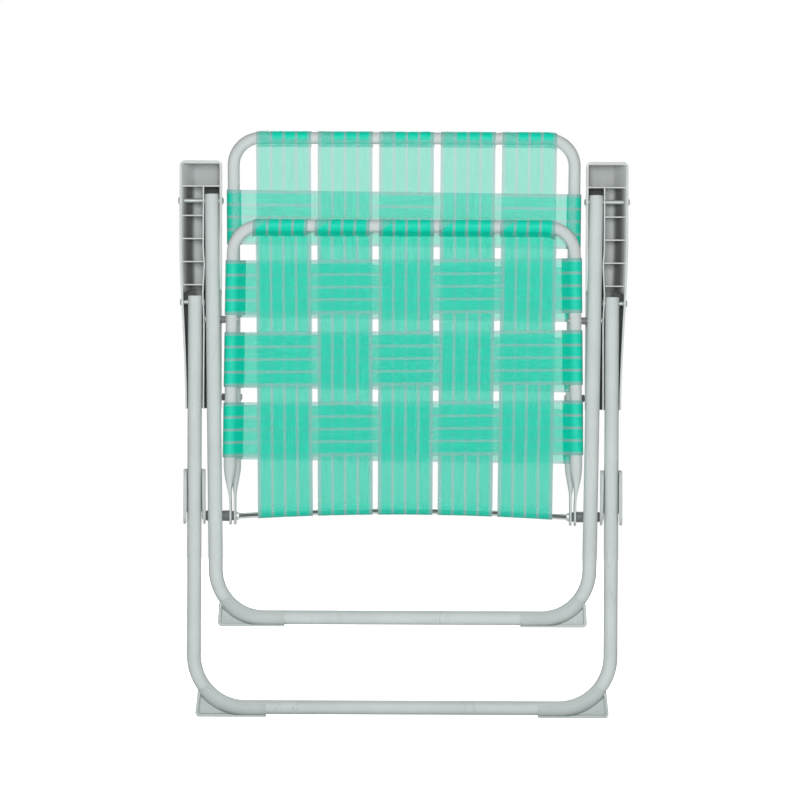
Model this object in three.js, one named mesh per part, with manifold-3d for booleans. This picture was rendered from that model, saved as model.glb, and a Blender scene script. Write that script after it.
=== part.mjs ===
// A folding webbed lawn chair, folded flat and standing on the feet of its rear leg frame.
// Millimetres, +Z up. The folded chair shows the underside of its seat towards -Y, and left
// and right are as seen from there. Every pivot axis runs along X.
import * as THREE from "three";
import { mergeVertices } from "three/addons/utils/BufferGeometryUtils.js";
import Module from "manifold-3d";

const wasm = await Module();
wasm.setup();

// Running clearance between neighbouring pieces
const clearance = 0.3;

// Tubing: the two leg frames, and the seat and back frames
const legTubeDiameter = 19;
const legTubeWall = 1.2;
const frameTubeDiameter = 16;
const frameTubeWall = 1;

// Pivot axes: the hinge above the floor, then the other axes above the hinge
const hingeHeight = 268;
const backPivotRise = 158;
const seatPivotRise = 261.5;
const rearLegPivotRise = 284.5;
const framePlaneOffset = 11;

// Back frame: half the width between tube centres at its top bar, which the other widths follow,
// and its length above the hinge
const backHalfTop = 227.8;
const backTaper = 4.3;
const backHeight = 504;
const frameBendRadius = 37;

// Seat frame: a little narrower than the back at its bar, and wider at the hinge
const seatUnderBack = 0.8;
const seatTaper = 4.5;
const seatDepth = 386.5;

// Front leg frame: outside the seat, and closer together at its floor bar
const frontLegSideGap = 11.5;
const frontLegTaper = 9.3;
const frontLegBendRadius = 64;
const frontBarDrop = 132.9;

// Rear leg frame: outside the front legs. The folded chair stands on it.
const rearLegBendRadius = 69;
const legTopOverhang = 8.5;

// Flattened lower ends of the seat and back tubes
const bladeThickness = 3;
const bladeSet = 7.5;
const bladeFlatLength = 40;
const bladeTaperLength = 46;
const bladeSpacerLength = 2.4;
const bladeSquareness = 0.3;

// Hinge rod, rolled from strip with an open seam, and what it carries
const rodDiameter = 8;
const rodWall = 1.2;
const rodSeamAngle = 0.45;
const sleeveDiameter = 14.5;
const rodWasherDiameter = 13;
const rodWasherThickness = 2;
const rodNutDiameter = 12.6;
const rodNutLength = 3.6;
const rodCapDiameter = 12;
const rodCapThickness = 1.9;
const rodCapShankLength = 14;

// Saddles that ride on the rear legs at the hinge rod
const saddleWall = 2.2;
const saddleSideGap = 2.7;
const saddleHeight = 62;
const saddleEndRadius = 10;
const saddleLip = 7.5;

// Armrests: moulded channels that open towards -Y
const armWall = 2.2;
const armRoofThickness = 3;
const armRoofGap = 1.4;
const armRimDepth = 8;
const armInnerLegGap = 2;
const armFlare = 8.5;
const armFlareLength = 230;
const armTail = 15.4;
const armNose = 53.5;
const armCrossWallGap = 6.7;
const armEndWall = 3;
const armDividerWall = 2.2;
const armDividerGap = 0.35;
const armRibThickness = 1.8;
const armRibCount = 4;
const armRibPitch = 30.7;
const armRibRecess = 1.5;
const armBossDiameter = 14;
const armBossLength = 5;
const armRelief = 8.5;
const armOutsideSquareness = 0.4;
const armInsideSquareness = 0.25;

// Rivets and spacers
const rivetDiameter = 6;
const rivetHeadDiameter = 9.6;
const rivetHeadHeight = 2;
const rivetCrownShare = 0.7;
const spacerDiameter = 9.8;

// Feet: half sleeves with a hollow heel
const soleThickness = 3;
const footWall = 2.2;
const footStraight = 22;
const footLip = 4.5;
const heelThickness = 21;
const heelWebThickness = 4;
const heelCorner = 3;

// Webbing
const webThickness = 0.9;
const webSideRoom = 27.3;
const webGap = 9;
const webOffset = 3.6;
const webDrawIn = 0.027;
const backRowGap = 23;
const seatRowGap = 22.2;
const longWebCount = 5;
const backRowCount = 4;
const seatRowCount = 3;
const weaveGap = 0.25;
const flapReach = 18;
const flapGap = 0.6;
const wrapGap = 0.65;
const rowBelowBackPivot = 14.9;
const rowAboveSeatPivot = 7.5;
const backRodTurn = 0.924;
const seatRodTurn = 4.398;

// How finely round forms are faceted
const tubeSides = 12;
const boreSides = 8;
const legBendSteps = 8;
const frameBendSteps = 5;
const footBendSteps = 5;
const footSides = 10;
const turnedSides = 10;

// Derived sizes
const legRadius = legTubeDiameter / 2;
const frameRadius = frameTubeDiameter / 2;
const rodRadius = rodDiameter / 2;
const rivetRadius = rivetDiameter / 2;
const backHalfBottom = backHalfTop - backTaper;
const seatHalfFront = backHalfTop - seatUnderBack;
const seatHalfRear = seatHalfFront + seatTaper;
const frontLegHalfTop = seatHalfFront + frameRadius + frontLegSideGap + legRadius;
const frontLegHalfBottom = frontLegHalfTop - frontLegTaper;
const legSideGap = armDividerWall + 2 * armDividerGap;
const rearLegHalfSpacing = frontLegHalfTop + legTubeDiameter + legSideGap;
const webRoom = 2 * (backHalfTop - webSideRoom);
const webWidth = (webRoom - (longWebCount - 1) * webGap) / longWebCount;
const hinge = { y: 0, z: hingeHeight };
const backPivot = { y: framePlaneOffset, z: hingeHeight + backPivotRise };
const seatPivot = { y: -framePlaneOffset, z: hingeHeight + seatPivotRise };
const rearLegPivot = { y: 0, z: hingeHeight + rearLegPivotRise };
// The seat, back, arms and front legs make a parallelogram, which places the front leg pivot.
const frontLegPivot = { y: backPivot.y + seatPivot.y, z: backPivot.z + seatPivot.z - hinge.z };
const seatPivotLag = frontLegPivot.y - seatPivot.y;
const seatPivotDrop = frontLegPivot.z - seatPivot.z;
const frontLegTilt = -Math.atan2(seatPivotLag, seatPivotDrop);
const frontLegToSeatPivot = Math.hypot(seatPivotLag, seatPivotDrop);

// Places across the chair, from the middle outwards
const backBladeX = backHalfBottom;
const seatBladeX = backBladeX + bladeThickness + bladeSpacerLength + 2 * clearance;
const saddleInside = legRadius + saddleSideGap;
const saddleOutside = saddleInside + saddleWall;
const saddleInnerFace = rearLegHalfSpacing - saddleOutside;
const armInnerFace = frontLegHalfTop - legRadius - armInnerLegGap - armWall;
const armOuterFaceRear = rearLegHalfSpacing + legRadius + 2 * clearance + armWall;
const armDividerX = (rearLegHalfSpacing + frontLegHalfTop) / 2;

// A straight taper of half width with height, for the frames whose sides are not parallel
const taperAt = (low, high, share) => low + (high - low) * share;
const seatHalfAt = (z) => taperAt(seatHalfRear, seatHalfFront, (z - hinge.z) / seatDepth);
const backHalfAt = (z) => taperAt(backHalfBottom, backHalfTop, (z - hinge.z) / backHeight);

// Turns a geometry's faces outwards if it was built inside out.
function outward(geometry) {
  const position = geometry.getAttribute("position");
  const index = geometry.index.array;
  const [a, b, c] = [new THREE.Vector3(), new THREE.Vector3(), new THREE.Vector3()];
  let volume = 0;
  for (let i = 0; i < index.length; i += 3) {
    a.fromBufferAttribute(position, index[i]);
    b.fromBufferAttribute(position, index[i + 1]);
    c.fromBufferAttribute(position, index[i + 2]);
    volume += a.dot(b.cross(c));
  }
  if (volume < 0) {
    geometry.setIndex(Array.from(index).reverse());
  }
  return geometry;
}

// Merged, position-only copy of a geometry, without the faces that merging flattens.
function welded(geometry) {
  const plain = geometry.clone();
  plain.deleteAttribute("normal");
  plain.deleteAttribute("uv");
  const merged = mergeVertices(plain, 1e-4);
  const kept = [];
  const index = merged.index.array;
  for (let i = 0; i < index.length; i += 3) {
    const [p, q, r] = index.slice(i, i + 3);
    if (p !== q && q !== r && r !== p) {
      kept.push(p, q, r);
    }
  }
  merged.setIndex(kept);
  return outward(merged);
}

function solidOf(geometry) {
  const closed = welded(geometry);
  const vertProperties = closed.getAttribute("position").array;
  const triVerts = new Uint32Array(closed.index.array);
  return new wasm.Manifold(new wasm.Mesh({ numProp: 3, vertProperties, triVerts }));
}

function geometryOf(solid) {
  const mesh = solid.getMesh();
  const geometry = new THREE.BufferGeometry();
  geometry.setAttribute("position", new THREE.BufferAttribute(mesh.vertProperties, 3));
  geometry.setIndex(new THREE.BufferAttribute(mesh.triVerts, 1));
  return geometry;
}

const joined = (geometries) => geometries.map(solidOf).reduce((sum, next) => sum.add(next));
const cutBy = (solid, tools) => (tools.length ? solid.subtract(joined(tools)) : solid);

// A closed skin over rings of equal count, with a fan over each end ring.
function loft(rings) {
  const count = rings[0].length;
  const positions = rings.flat().flatMap((p) => [p.x, p.y, p.z]);
  const index = [];
  for (let i = 0; i + 1 < rings.length; i++) {
    for (let k = 0; k < count; k++) {
      const here = i * count + k;
      const beside = i * count + ((k + 1) % count);
      index.push(here, beside, beside + count, here, beside + count, here + count);
    }
  }
  const last = (rings.length - 1) * count;
  for (let k = 1; k + 1 < count; k++) {
    index.push(0, k + 1, k, last, last + k, last + k + 1);
  }
  const geometry = new THREE.BufferGeometry();
  geometry.setAttribute("position", new THREE.Float32BufferAttribute(positions, 3));
  geometry.setIndex(index);
  return outward(geometry);
}

// Stations along straight runs with round bends at the inner corners, in the X and Z of a frame.
// Extra stations stand at the given distances from both ends.
function bentPath(corners, radius, bendSteps, endDistances = []) {
  const stations = [];
  const headings = corners.slice(1).map((corner, i) => corner.clone().sub(corners[i]).normalize());
  const station = (point, heading, fromEnd) => stations.push({ point, heading, fromEnd });
  for (const distance of [0, ...endDistances]) {
    station(corners[0].clone().addScaledVector(headings[0], distance), headings[0], distance);
  }
  for (let i = 1; i + 1 < corners.length; i++) {
    const [before, after] = [headings[i - 1], headings[i]];
    const turn = Math.atan2(before.cross(after), before.dot(after));
    const start = corners[i].clone().addScaledVector(before, -radius * Math.tan(Math.abs(turn) / 2));
    const inside = new THREE.Vector2(-before.y, before.x).multiplyScalar(Math.sign(turn));
    const centre = start.clone().addScaledVector(inside, radius);
    for (let k = 0; k <= bendSteps; k++) {
      const angle = (turn * k) / bendSteps;
      const heading = before.clone().rotateAround(new THREE.Vector2(), angle);
      station(start.clone().rotateAround(centre, angle), heading, Infinity);
    }
  }
  const end = corners[corners.length - 1];
  const finish = headings[headings.length - 1];
  for (const distance of [...endDistances].reverse().concat(0)) {
    station(end.clone().addScaledVector(finish, -distance), finish, distance);
  }
  return stations;
}

// Carries a profile along stations: its X goes across the path in the frame's plane, its Y along Y.
function sweep(stations, profileAt) {
  return loft(
    stations.map((station) => {
      const across = new THREE.Vector2(-station.heading.y, station.heading.x);
      return profileAt(station).map(
        (p) =>
          new THREE.Vector3(
            station.point.x + across.x * p.x,
            p.y,
            station.point.y + across.y * p.x,
          ),
      );
    }),
  );
}

// A rounded section with half sizes across and deep; a squareness of 1 is an ellipse, less is squarer.
function roundSection(across, deep, sides, squareness = 1, shift = { across: 0, deep: 0 }) {
  const rounded = (value) => Math.sign(value) * Math.abs(value) ** squareness;
  return Array.from({ length: sides }, (_, k) => {
    const angle = (2 * Math.PI * k) / sides;
    const x = across * rounded(Math.cos(angle)) + shift.across;
    const y = deep * rounded(Math.sin(angle)) + shift.deep;
    return new THREE.Vector2(x, y);
  });
}

const circleSection = (radius, sides) => roundSection(radius, radius, sides);

function boxSection(acrossLow, acrossHigh, deep) {
  const corners = [[acrossLow, -deep], [acrossHigh, -deep], [acrossHigh, deep], [acrossLow, deep]];
  return corners.map(([across, along]) => new THREE.Vector2(across, along));
}

// A prism along X from x0 to x1, on an outline given in Y and Z.
function prismAlongX(outline, x0, x1, steps = 1) {
  const geometry = new THREE.ExtrudeGeometry(outline, {
    depth: x1 - x0,
    steps,
    bevelEnabled: false,
    curveSegments: turnedSides,
  });
  const basis = new THREE.Matrix4().makeBasis(
    new THREE.Vector3(0, 1, 0),
    new THREE.Vector3(0, 0, 1),
    new THREE.Vector3(1, 0, 0),
  );
  return welded(geometry.applyMatrix4(basis).translate(x0, 0, 0));
}

// A prism along Y from y0 to y1, on an outline given in X and Z.
function prismAlongY(outline, y0, y1) {
  const geometry = new THREE.ExtrudeGeometry(outline, { depth: y1 - y0, bevelEnabled: false });
  const basis = new THREE.Matrix4().makeBasis(
    new THREE.Vector3(1, 0, 0),
    new THREE.Vector3(0, 0, 1),
    new THREE.Vector3(0, -1, 0),
  );
  return welded(geometry.applyMatrix4(basis).translate(0, y1, 0));
}

const polygon = (points) => new THREE.Shape(points.map(([u, v]) => new THREE.Vector2(u, v)));

// A box given by its lowest and highest corners.
function block(low, high) {
  const size = high.map((value, i) => value - low[i]);
  const middle = high.map((value, i) => (value + low[i]) / 2);
  return new THREE.BoxGeometry(...size).translate(...middle);
}

// A turned piece about an axis along X, from a profile of [distance along X, radius] pairs.
function turned(profile) {
  const points = profile.map(([along, radius]) => new THREE.Vector2(radius, along));
  return welded(new THREE.LatheGeometry(points, turnedSides).rotateZ(-Math.PI / 2));
}

// A drilling tool along X through a pivot, between two places across the chair.
function drill(radius, pivot, x0, x1) {
  const profile = [[x0, 0], [x0, radius], [x1, radius], [x1, 0]];
  return turned(profile).translate(0, pivot.y, pivot.z);
}

// A plain ring along X between two places.
function collar(x0, x1, bore, outer) {
  return turned([[x0, bore], [x0, outer], [x1, outer], [x1, bore], [x0, bore]]);
}

// A rivet along X whose heads stand just outside the faces at x0 and x1.
function rivet(x0, x1) {
  const head = rivetHeadDiameter / 2;
  const [low, high] = [x0 - clearance, x1 + clearance];
  const crown = rivetCrownShare * head;
  return turned([
    [low - rivetHeadHeight, 0],
    [low - rivetHeadHeight, crown],
    [low, head],
    [low, rivetRadius],
    [high, rivetRadius],
    [high, head],
    [high + rivetHeadHeight, crown],
    [high + rivetHeadHeight, 0],
  ]);
}

const colours = {
  tube: { color: 0xc9d0cf, roughness: 0.38, metalness: 0.35 },
  arm: { color: 0xb9bfbe, roughness: 0.55, metalness: 0 },
  foot: { color: 0xb9c1c0, roughness: 0.5, metalness: 0 },
  steel: { color: 0x9a9f9e, roughness: 0.35, metalness: 0.9 },
  web: { color: 0x19bf97, roughness: 0.45, metalness: 0 },
};

const chair = new THREE.Group();
chair.name = "folding_lawn_chair";
const folded = new THREE.Group();
chair.add(folded);

function addPiece(name, geometry, colour, pivot = { y: 0, z: 0 }, parent = folded) {
  const mesh = new THREE.Mesh(geometry, new THREE.MeshStandardMaterial(colours[colour]));
  mesh.name = name;
  mesh.position.set(0, pivot.y, pivot.z);
  parent.add(mesh);
  return mesh;
}

// Adds a piece made for the right side, and its mirror image on the left.
function addPair(name, geometry, colour, pivot, parent) {
  addPiece(name + "_right", geometry, colour, pivot, parent);
  addPiece(name + "_left", geometry, colour, pivot, parent).scale.x = -1;
}

// Leg frames: tubes bent to a U, open at their tops, with holes for the pivot rivets.
// A leg frame is drawn in its own plane with its top pivot at the origin.
function legCorners(halfTop, halfBottom, barDrop) {
  const halfAt = (z) => taperAt(halfTop, halfBottom, -z / barDrop);
  const top = new THREE.Vector2(halfAt(legTopOverhang), legTopOverhang);
  const bottom = new THREE.Vector2(halfBottom, -barDrop);
  const mirrored = (point) => new THREE.Vector2(-point.x, point.y);
  return [mirrored(top), mirrored(bottom), bottom, top];
}

function legFrame(corners, bendRadius, pivots) {
  const stations = bentPath(corners, bendRadius, legBendSteps);
  const widest = corners[0].length() + legTubeDiameter;
  const bore = sweep(stations.map(stretched(legTubeWall)), () =>
    circleSection(legRadius - legTubeWall, boreSides),
  );
  const holes = pivots.map((pivot) => drill(rivetRadius + clearance, pivot, -widest, widest));
  const tube = solidOf(sweep(stations, () => circleSection(legRadius, tubeSides)));
  return geometryOf(cutBy(tube, [bore, ...holes]));
}

// Pushes the first and last stations outwards, so that a cutting sweep passes the ends.
function stretched(distance) {
  return (station, i, all) => {
    const way = i === 0 ? -distance : i === all.length - 1 ? distance : 0;
    const point = station.point.clone().addScaledVector(station.heading, way);
    return { ...station, point };
  };
}

// Feet: a half sleeve round the outside of the bend, and a hollow heel under it.
// The sleeve is open on the inside of the bend, and the sole is flat.
function foot(corners, bendRadius) {
  const stations = bentPath(corners, bendRadius, legBendSteps);
  const bend = stations.slice(legBendSteps + 2, 2 * legBendSteps + 3);
  const run = footStraight;
  const barEnd = { ...bend[0], point: bend[0].point.clone().addScaledVector(bend[0].heading, -run) };
  const covered = [barEnd, ...bend.slice(0, footBendSteps + 1)];
  const top = covered[covered.length - 1];
  const outside = new THREE.Vector2(top.heading.y, -top.heading.x);
  const heelTop = top.point.clone().addScaledVector(outside, legRadius);
  const soleZ = corners[2].y - legRadius - soleThickness;
  const heelX = corners[2].x;
  const sleeve = sweep(covered, () => circleSection(legRadius + clearance + footWall, footSides));
  const heel = polygon([
    [barEnd.point.x, soleZ],
    [heelX - heelCorner, soleZ],
    [heelX, soleZ + heelCorner],
    [heelTop.x, heelTop.y],
    [top.point.x, top.point.y],
    [barEnd.point.x, barEnd.point.y],
  ]);
  const pocket = polygon([
    [bend[0].point.x, soleZ + footWall],
    [heelX - footWall, soleZ + footWall],
    [heelTop.x - footWall, heelTop.y - 2 * footWall],
  ]);
  const pockets = [1, -1].map((side) => {
    const faces = [side * heelThickness, (side * heelWebThickness) / 2];
    return prismAlongY(pocket, Math.min(...faces), Math.max(...faces));
  });
  const hollow = joined(pockets).subtract(solidOf(sleeve));
  const barMiddle = { ...barEnd, point: barEnd.point.clone().setX(0) };
  const whole = [barMiddle, ...bend, stations[stations.length - 1]];
  const tubeRoom = sweep(whole, () => circleSection(legRadius + 2 * clearance, footSides));
  const mouth = sweep(whole, () => boxSection(footLip, footLip + legTubeDiameter, legTubeDiameter));
  const body = joined([sleeve, prismAlongY(heel, -heelThickness / 2, heelThickness / 2)]);
  return geometryOf(cutBy(body.subtract(hollow), [tubeRoom, mouth]));
}

const rearBarDrop = rearLegPivot.z - legRadius - soleThickness;
const rearCorners = legCorners(rearLegHalfSpacing, rearLegHalfSpacing, rearBarDrop);
const atTop = { y: 0, z: 0 };
const rearLegs = new THREE.Group();
rearLegs.position.set(0, rearLegPivot.y, rearLegPivot.z);
folded.add(rearLegs);
const rearFrame = legFrame(rearCorners, rearLegBendRadius, [atTop]);
addPiece("rear_leg_frame", rearFrame, "tube", atTop, rearLegs);
addPair("rear_foot", foot(rearCorners, rearLegBendRadius), "foot", atTop, rearLegs);

const frontBarDistance = (frontLegPivot.z - hinge.z + frontBarDrop) / Math.cos(frontLegTilt);
const frontCorners = legCorners(frontLegHalfTop, frontLegHalfBottom, frontBarDistance);
const frontLegHalfAt = (z) => taperAt(frontLegHalfTop, frontLegHalfBottom, -z / frontBarDistance);
const seatHole = { y: 0, z: -frontLegToSeatPivot };
const frontLegs = new THREE.Group();
frontLegs.position.set(0, frontLegPivot.y, frontLegPivot.z);
frontLegs.rotation.x = frontLegTilt;
folded.add(frontLegs);
const frontFrame = legFrame(frontCorners, frontLegBendRadius, [atTop, seatHole]);
addPiece("front_leg_frame", frontFrame, "tube", atTop, frontLegs);
addPair("front_foot", foot(frontCorners, frontLegBendRadius), "foot", atTop, frontLegs);

// Seat and back frames: tubes bent to a U whose ends are pressed flat and set over to the hinge.
// The flat end is rounded about the hinge rod, which passes through it.
const bladeHalfWidth = (Math.PI * (frameTubeDiameter - frameTubeWall)) / 4;
const roundFrom = bladeFlatLength + bladeTaperLength;
const setOverFrom = bladeFlatLength / 2;
const setOverTo = bladeFlatLength + bladeTaperLength / 2;

function bladeSection(fromEnd, shift) {
  const share = THREE.MathUtils.smoothstep(fromEnd, bladeFlatLength, roundFrom);
  const setOver = 1 - THREE.MathUtils.smoothstep(fromEnd, setOverFrom, setOverTo);
  const fromTip = Math.min(fromEnd + clearance, bladeHalfWidth);
  const rounding = Math.sqrt(bladeHalfWidth ** 2 - (bladeHalfWidth - fromTip) ** 2);
  const moved = { across: shift.across * setOver, deep: shift.deep * setOver };
  return roundSection(
    THREE.MathUtils.lerp(bladeThickness / 2, frameRadius, share),
    THREE.MathUtils.lerp(rounding, frameRadius, share),
    tubeSides,
    THREE.MathUtils.lerp(bladeSquareness, 1, share),
    moved,
  );
}

function flatEndedFrame(halfBottom, halfTop, height, bladeX, planeY, pivot) {
  const towardsHinge = -Math.sign(planeY) * bladeSet;
  const shift = { across: bladeX - halfBottom, deep: towardsHinge };
  const tipZ = hinge.z - bladeHalfWidth;
  const corners = [
    new THREE.Vector2(-halfBottom, tipZ),
    new THREE.Vector2(-halfTop, hinge.z + height),
    new THREE.Vector2(halfTop, hinge.z + height),
    new THREE.Vector2(halfBottom, tipZ),
  ];
  const tip = [0.12, 0.4, 1].map((share) => share * bladeHalfWidth);
  const taper = [0, 0.25, 0.5, 0.75, 1].map((share) => bladeFlatLength + share * bladeTaperLength);
  const ends = [...tip, setOverFrom, ...taper];
  const stations = bentPath(corners, frameBendRadius, frameBendSteps, ends);
  const tube = solidOf(sweep(stations, (station) => bladeSection(station.fromEnd, shift)));
  const roundPart = stations.filter((station) => station.fromEnd >= roundFrom);
  const bore = sweep(roundPart, () => circleSection(frameRadius - frameTubeWall, boreSides));
  const widest = 2 * halfBottom;
  const rodRoom = { y: hinge.y - planeY, z: hinge.z };
  const rodHole = drill(rodRadius + clearance, rodRoom, -widest, widest);
  const rivetHole = drill(rivetRadius + clearance, { y: 0, z: pivot.z }, -widest, widest);
  return geometryOf(cutBy(tube, [bore, rodHole, rivetHole]));
}

const backPlane = { y: framePlaneOffset, z: 0 };
const seatPlane = { y: -framePlaneOffset, z: 0 };
const backTube = flatEndedFrame(
  backHalfBottom, backHalfTop, backHeight, backBladeX, backPlane.y, backPivot,
);
addPiece("back_frame", backTube, "tube", backPlane);
const seatTube = flatEndedFrame(
  seatHalfRear, seatHalfFront, seatDepth, seatBladeX, seatPlane.y, seatPivot,
);
addPiece("seat_frame", seatTube, "tube", seatPlane);

// Hinge rod: strip rolled to a tube with its seam open towards -Y. It runs from saddle to saddle,
// through a sleeve, the flat ends of both frames with a spacer between, and a nut on each side.
const rodEnd = rearLegHalfSpacing - saddleInside;
const rodOutline = new THREE.Shape();
const [seamLow, seamHigh] = [Math.PI - rodSeamAngle, Math.PI + rodSeamAngle];
rodOutline.absarc(0, 0, rodRadius, seamHigh, seamLow, false);
rodOutline.absarc(0, 0, rodRadius - rodWall, seamLow, seamHigh, true);
addPiece("hinge_rod", prismAlongX(rodOutline, -rodEnd, rodEnd), "steel", hinge);

const rodBore = rodRadius + clearance;
const seatBladeOuter = seatBladeX + bladeThickness / 2;
const backBladeInner = backBladeX - bladeThickness / 2;
const spacerStart = backBladeX + bladeThickness / 2 + clearance;
const washerEnd = saddleInnerFace - clearance;
const sleeveEnd = washerEnd - rodWasherThickness - clearance;
const nutEnd = backBladeInner - clearance;
const sleeve = collar(seatBladeOuter + clearance, sleeveEnd, rodBore, sleeveDiameter / 2);
addPair("rod_sleeve", sleeve, "steel", hinge);
const washer = collar(washerEnd - rodWasherThickness, washerEnd, rodBore, rodWasherDiameter / 2);
addPair("rod_washer", washer, "steel", hinge);
const spacerEnd = spacerStart + bladeSpacerLength;
const bladeSpacer = collar(spacerStart, spacerEnd, rodBore, rodNutDiameter / 2);
addPair("blade_spacer", bladeSpacer, "steel", hinge);
const rodNut = collar(nutEnd - rodNutLength, nutEnd, rodBore, rodNutDiameter / 2);
addPair("rod_nut", rodNut, "steel", hinge);

const capStart = rodEnd + clearance;
const capShank = rodRadius - rodWall - clearance;
const capTip = capStart - rodCapShankLength;
const rodCap = turned([
  [capTip, 0],
  [capTip, capShank],
  [capStart, capShank],
  [capStart, rodCapDiameter / 2],
  [capStart + rodCapThickness / 2, rodCapDiameter / 2],
  [capStart + rodCapThickness, rodCapDiameter / 3],
  [capStart + rodCapThickness, 0],
]);
addPair("rod_cap", rodCap, "steel", hinge);

// Saddles: pressed channels that turn on the rod ends and sit on the rear leg tubes from behind.
const saddleBack = legRadius + clearance + saddleWall;
const saddleOutline = new THREE.Shape();
saddleOutline.moveTo(saddleBack, saddleEndRadius / 2);
saddleOutline.lineTo(saddleBack, saddleHeight);
saddleOutline.lineTo(-saddleLip / 2, saddleHeight);
saddleOutline.quadraticCurveTo(-saddleLip, saddleHeight, -saddleLip, saddleHeight - saddleLip);
saddleOutline.lineTo(-saddleEndRadius, 0);
saddleOutline.absarc(0, 0, saddleEndRadius, Math.PI, 2 * Math.PI, false);
const saddleX = rearLegHalfSpacing;
const saddleOuterFace = saddleX + saddleOutside;
const saddleBlank = solidOf(prismAlongX(saddleOutline, saddleInnerFace, saddleOuterFace));
const saddleRoom = block(
  [saddleX - saddleInside, -2 * saddleEndRadius, -2 * saddleEndRadius],
  [saddleX + saddleInside, saddleBack - saddleWall, saddleHeight + saddleWall],
);
const saddleHole = drill(rodBore, { y: 0, z: 0 }, saddleInnerFace - saddleWall, saddleX);
const saddle = geometryOf(cutBy(saddleBlank, [saddleRoom, saddleHole]));
addPair("saddle", saddle, "steel", hinge);

// Armrests: arched channels with a long divider between the two leg tubes and cross ribs.
const armRear = backPivot.z - armTail;
const armFront = frontLegPivot.z + armNose;
const armRoofInside = backPivot.y + rivetHeadDiameter / 2 + armRoofGap;
const armCrossWall = frontLegPivot.z + Math.hypot(legRadius, legTopOverhang) + armCrossWallGap;

function armSection(z, inset, roofY, rimY, squareness) {
  const share = THREE.MathUtils.smoothstep(z, armRear, armRear + armFlareLength);
  const outer = armOuterFaceRear + armFlare * share - inset;
  const inner = armInnerFace + inset;
  const [middle, half] = [(outer + inner) / 2, (outer - inner) / 2];
  const steps = 8;
  return Array.from({ length: steps + 1 }, (_, k) => {
    const angle = (Math.PI * k) / steps;
    const cos = Math.cos(angle);
    const x = middle + half * Math.sign(cos) * Math.abs(cos) ** squareness;
    const y = rimY + (roofY - rimY) * Math.sin(angle) ** squareness;
    return new THREE.Vector3(x, y, z);
  });
}

function armRings(from, to, inset, roofY, rimY, squareness) {
  const shares = [0, 0.3, 0.65, 1];
  const flare = shares.map((share) => armRear + share * armFlareLength);
  const heights = [from, ...flare.filter((z) => z > from), to];
  return heights.map((z) => armSection(z, inset, roofY, rimY, squareness));
}

// The nose is drawn in at its end, so its corners are round. Each pair of the bulge is a share of
// the width, and how many end walls it stands behind the front.
function roundedNose(rings) {
  const last = rings[rings.length - 1];
  const middle = (armInnerFace + armOuterFaceRear + armFlare) / 2;
  const drawnIn = (ring, share, z) =>
    ring.map((p) => {
      const x = middle + (p.x - middle) * share;
      const y = p.y > 0 ? p.y * share : p.y;
      return new THREE.Vector3(x, y, z);
    });
  const bulge = [[1, 3], [0.975, 1], [0.92, 0]];
  const nose = bulge.map(([share, back]) => drawnIn(last, share, armFront - back * armEndWall));
  return [...rings.slice(0, -1), ...nose];
}

const armRoofOutside = armRoofInside + armRoofThickness;
const outerRings = armRings(
  armRear, armFront, 0, armRoofOutside, -armRimDepth, armOutsideSquareness,
);
const armOuter = solidOf(loft(roundedNose(outerRings)));
const [hollowFrom, hollowTo] = [armRear - armEndWall, armFront - armEndWall];
const hollowRim = -armRimDepth - armWall / 2;
const hollowRings = armRings(
  hollowFrom, hollowTo, armWall, armRoofInside, hollowRim, armInsideSquareness,
);
const armHollow = solidOf(loft(hollowRings));
const farOut = armOuterFaceRear + armFlare;
const ribRim = -armRimDepth + armRibRecess;
const divider = block(
  [armDividerX - armDividerWall / 2, -armRimDepth, armRear],
  [armDividerX + armDividerWall / 2, armRoofOutside, armCrossWall],
);
const crossWall = block(
  [armInnerFace, ribRim, armCrossWall - armRibThickness / 2],
  [farOut, armRoofOutside, armCrossWall + armRibThickness / 2],
);
const ribs = Array.from({ length: armRibCount }, (_, k) => {
  const z = frontLegPivot.z - rivetHeadDiameter - armRibPitch * (k + 1 / 3);
  return block(
    [armDividerX, ribRim, z - armRibThickness / 2],
    [farOut, armRoofOutside, z + armRibThickness / 2],
  );
});
const pinRoom = rivetRadius + clearance;
const bossEnd = armInnerFace + armBossLength;
const boss = collar(armInnerFace, bossEnd, pinRoom, armBossDiameter / 2);
// What lies outside the roof, where the back pivot's boss must not stand proud
const aboveRoof = block(
  [0, armRoofOutside, armRear - armBossDiameter],
  [2 * farOut, 2 * armRoofOutside, armFront],
);
const inside = joined([divider, crossWall, ...ribs]).intersect(armOuter);
// Below the front leg's seat rivet the inner wall is cut back, so the rivet can leave the channel.
const reliefTop = seatPivot.z + armRelief + 4 * armRimDepth;
const relief = polygon([
  [-2 * armRimDepth, armRear - armEndWall],
  [clearance, armRear - armEndWall],
  [clearance, reliefTop - armRimDepth],
  [-armRimDepth, reliefTop],
  [-2 * armRimDepth, reliefTop],
]);
const armBoss = solidOf(boss.translate(0, backPivot.y, backPivot.z)).subtract(solidOf(aboveRoof));
const armShell = armOuter.subtract(armHollow).add(inside).add(armBoss);
const armCuts = [
  prismAlongX(relief, armInnerFace - armWall, armInnerFace + 2 * armWall),
  drill(pinRoom, frontLegPivot, 0, 2 * farOut),
  drill(pinRoom, rearLegPivot, armDividerX - armDividerWall, 2 * farOut),
  drill(pinRoom, backPivot, 0, bossEnd + armBossLength),
];
addPair("arm", geometryOf(cutBy(armShell, armCuts)), "arm");

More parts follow.
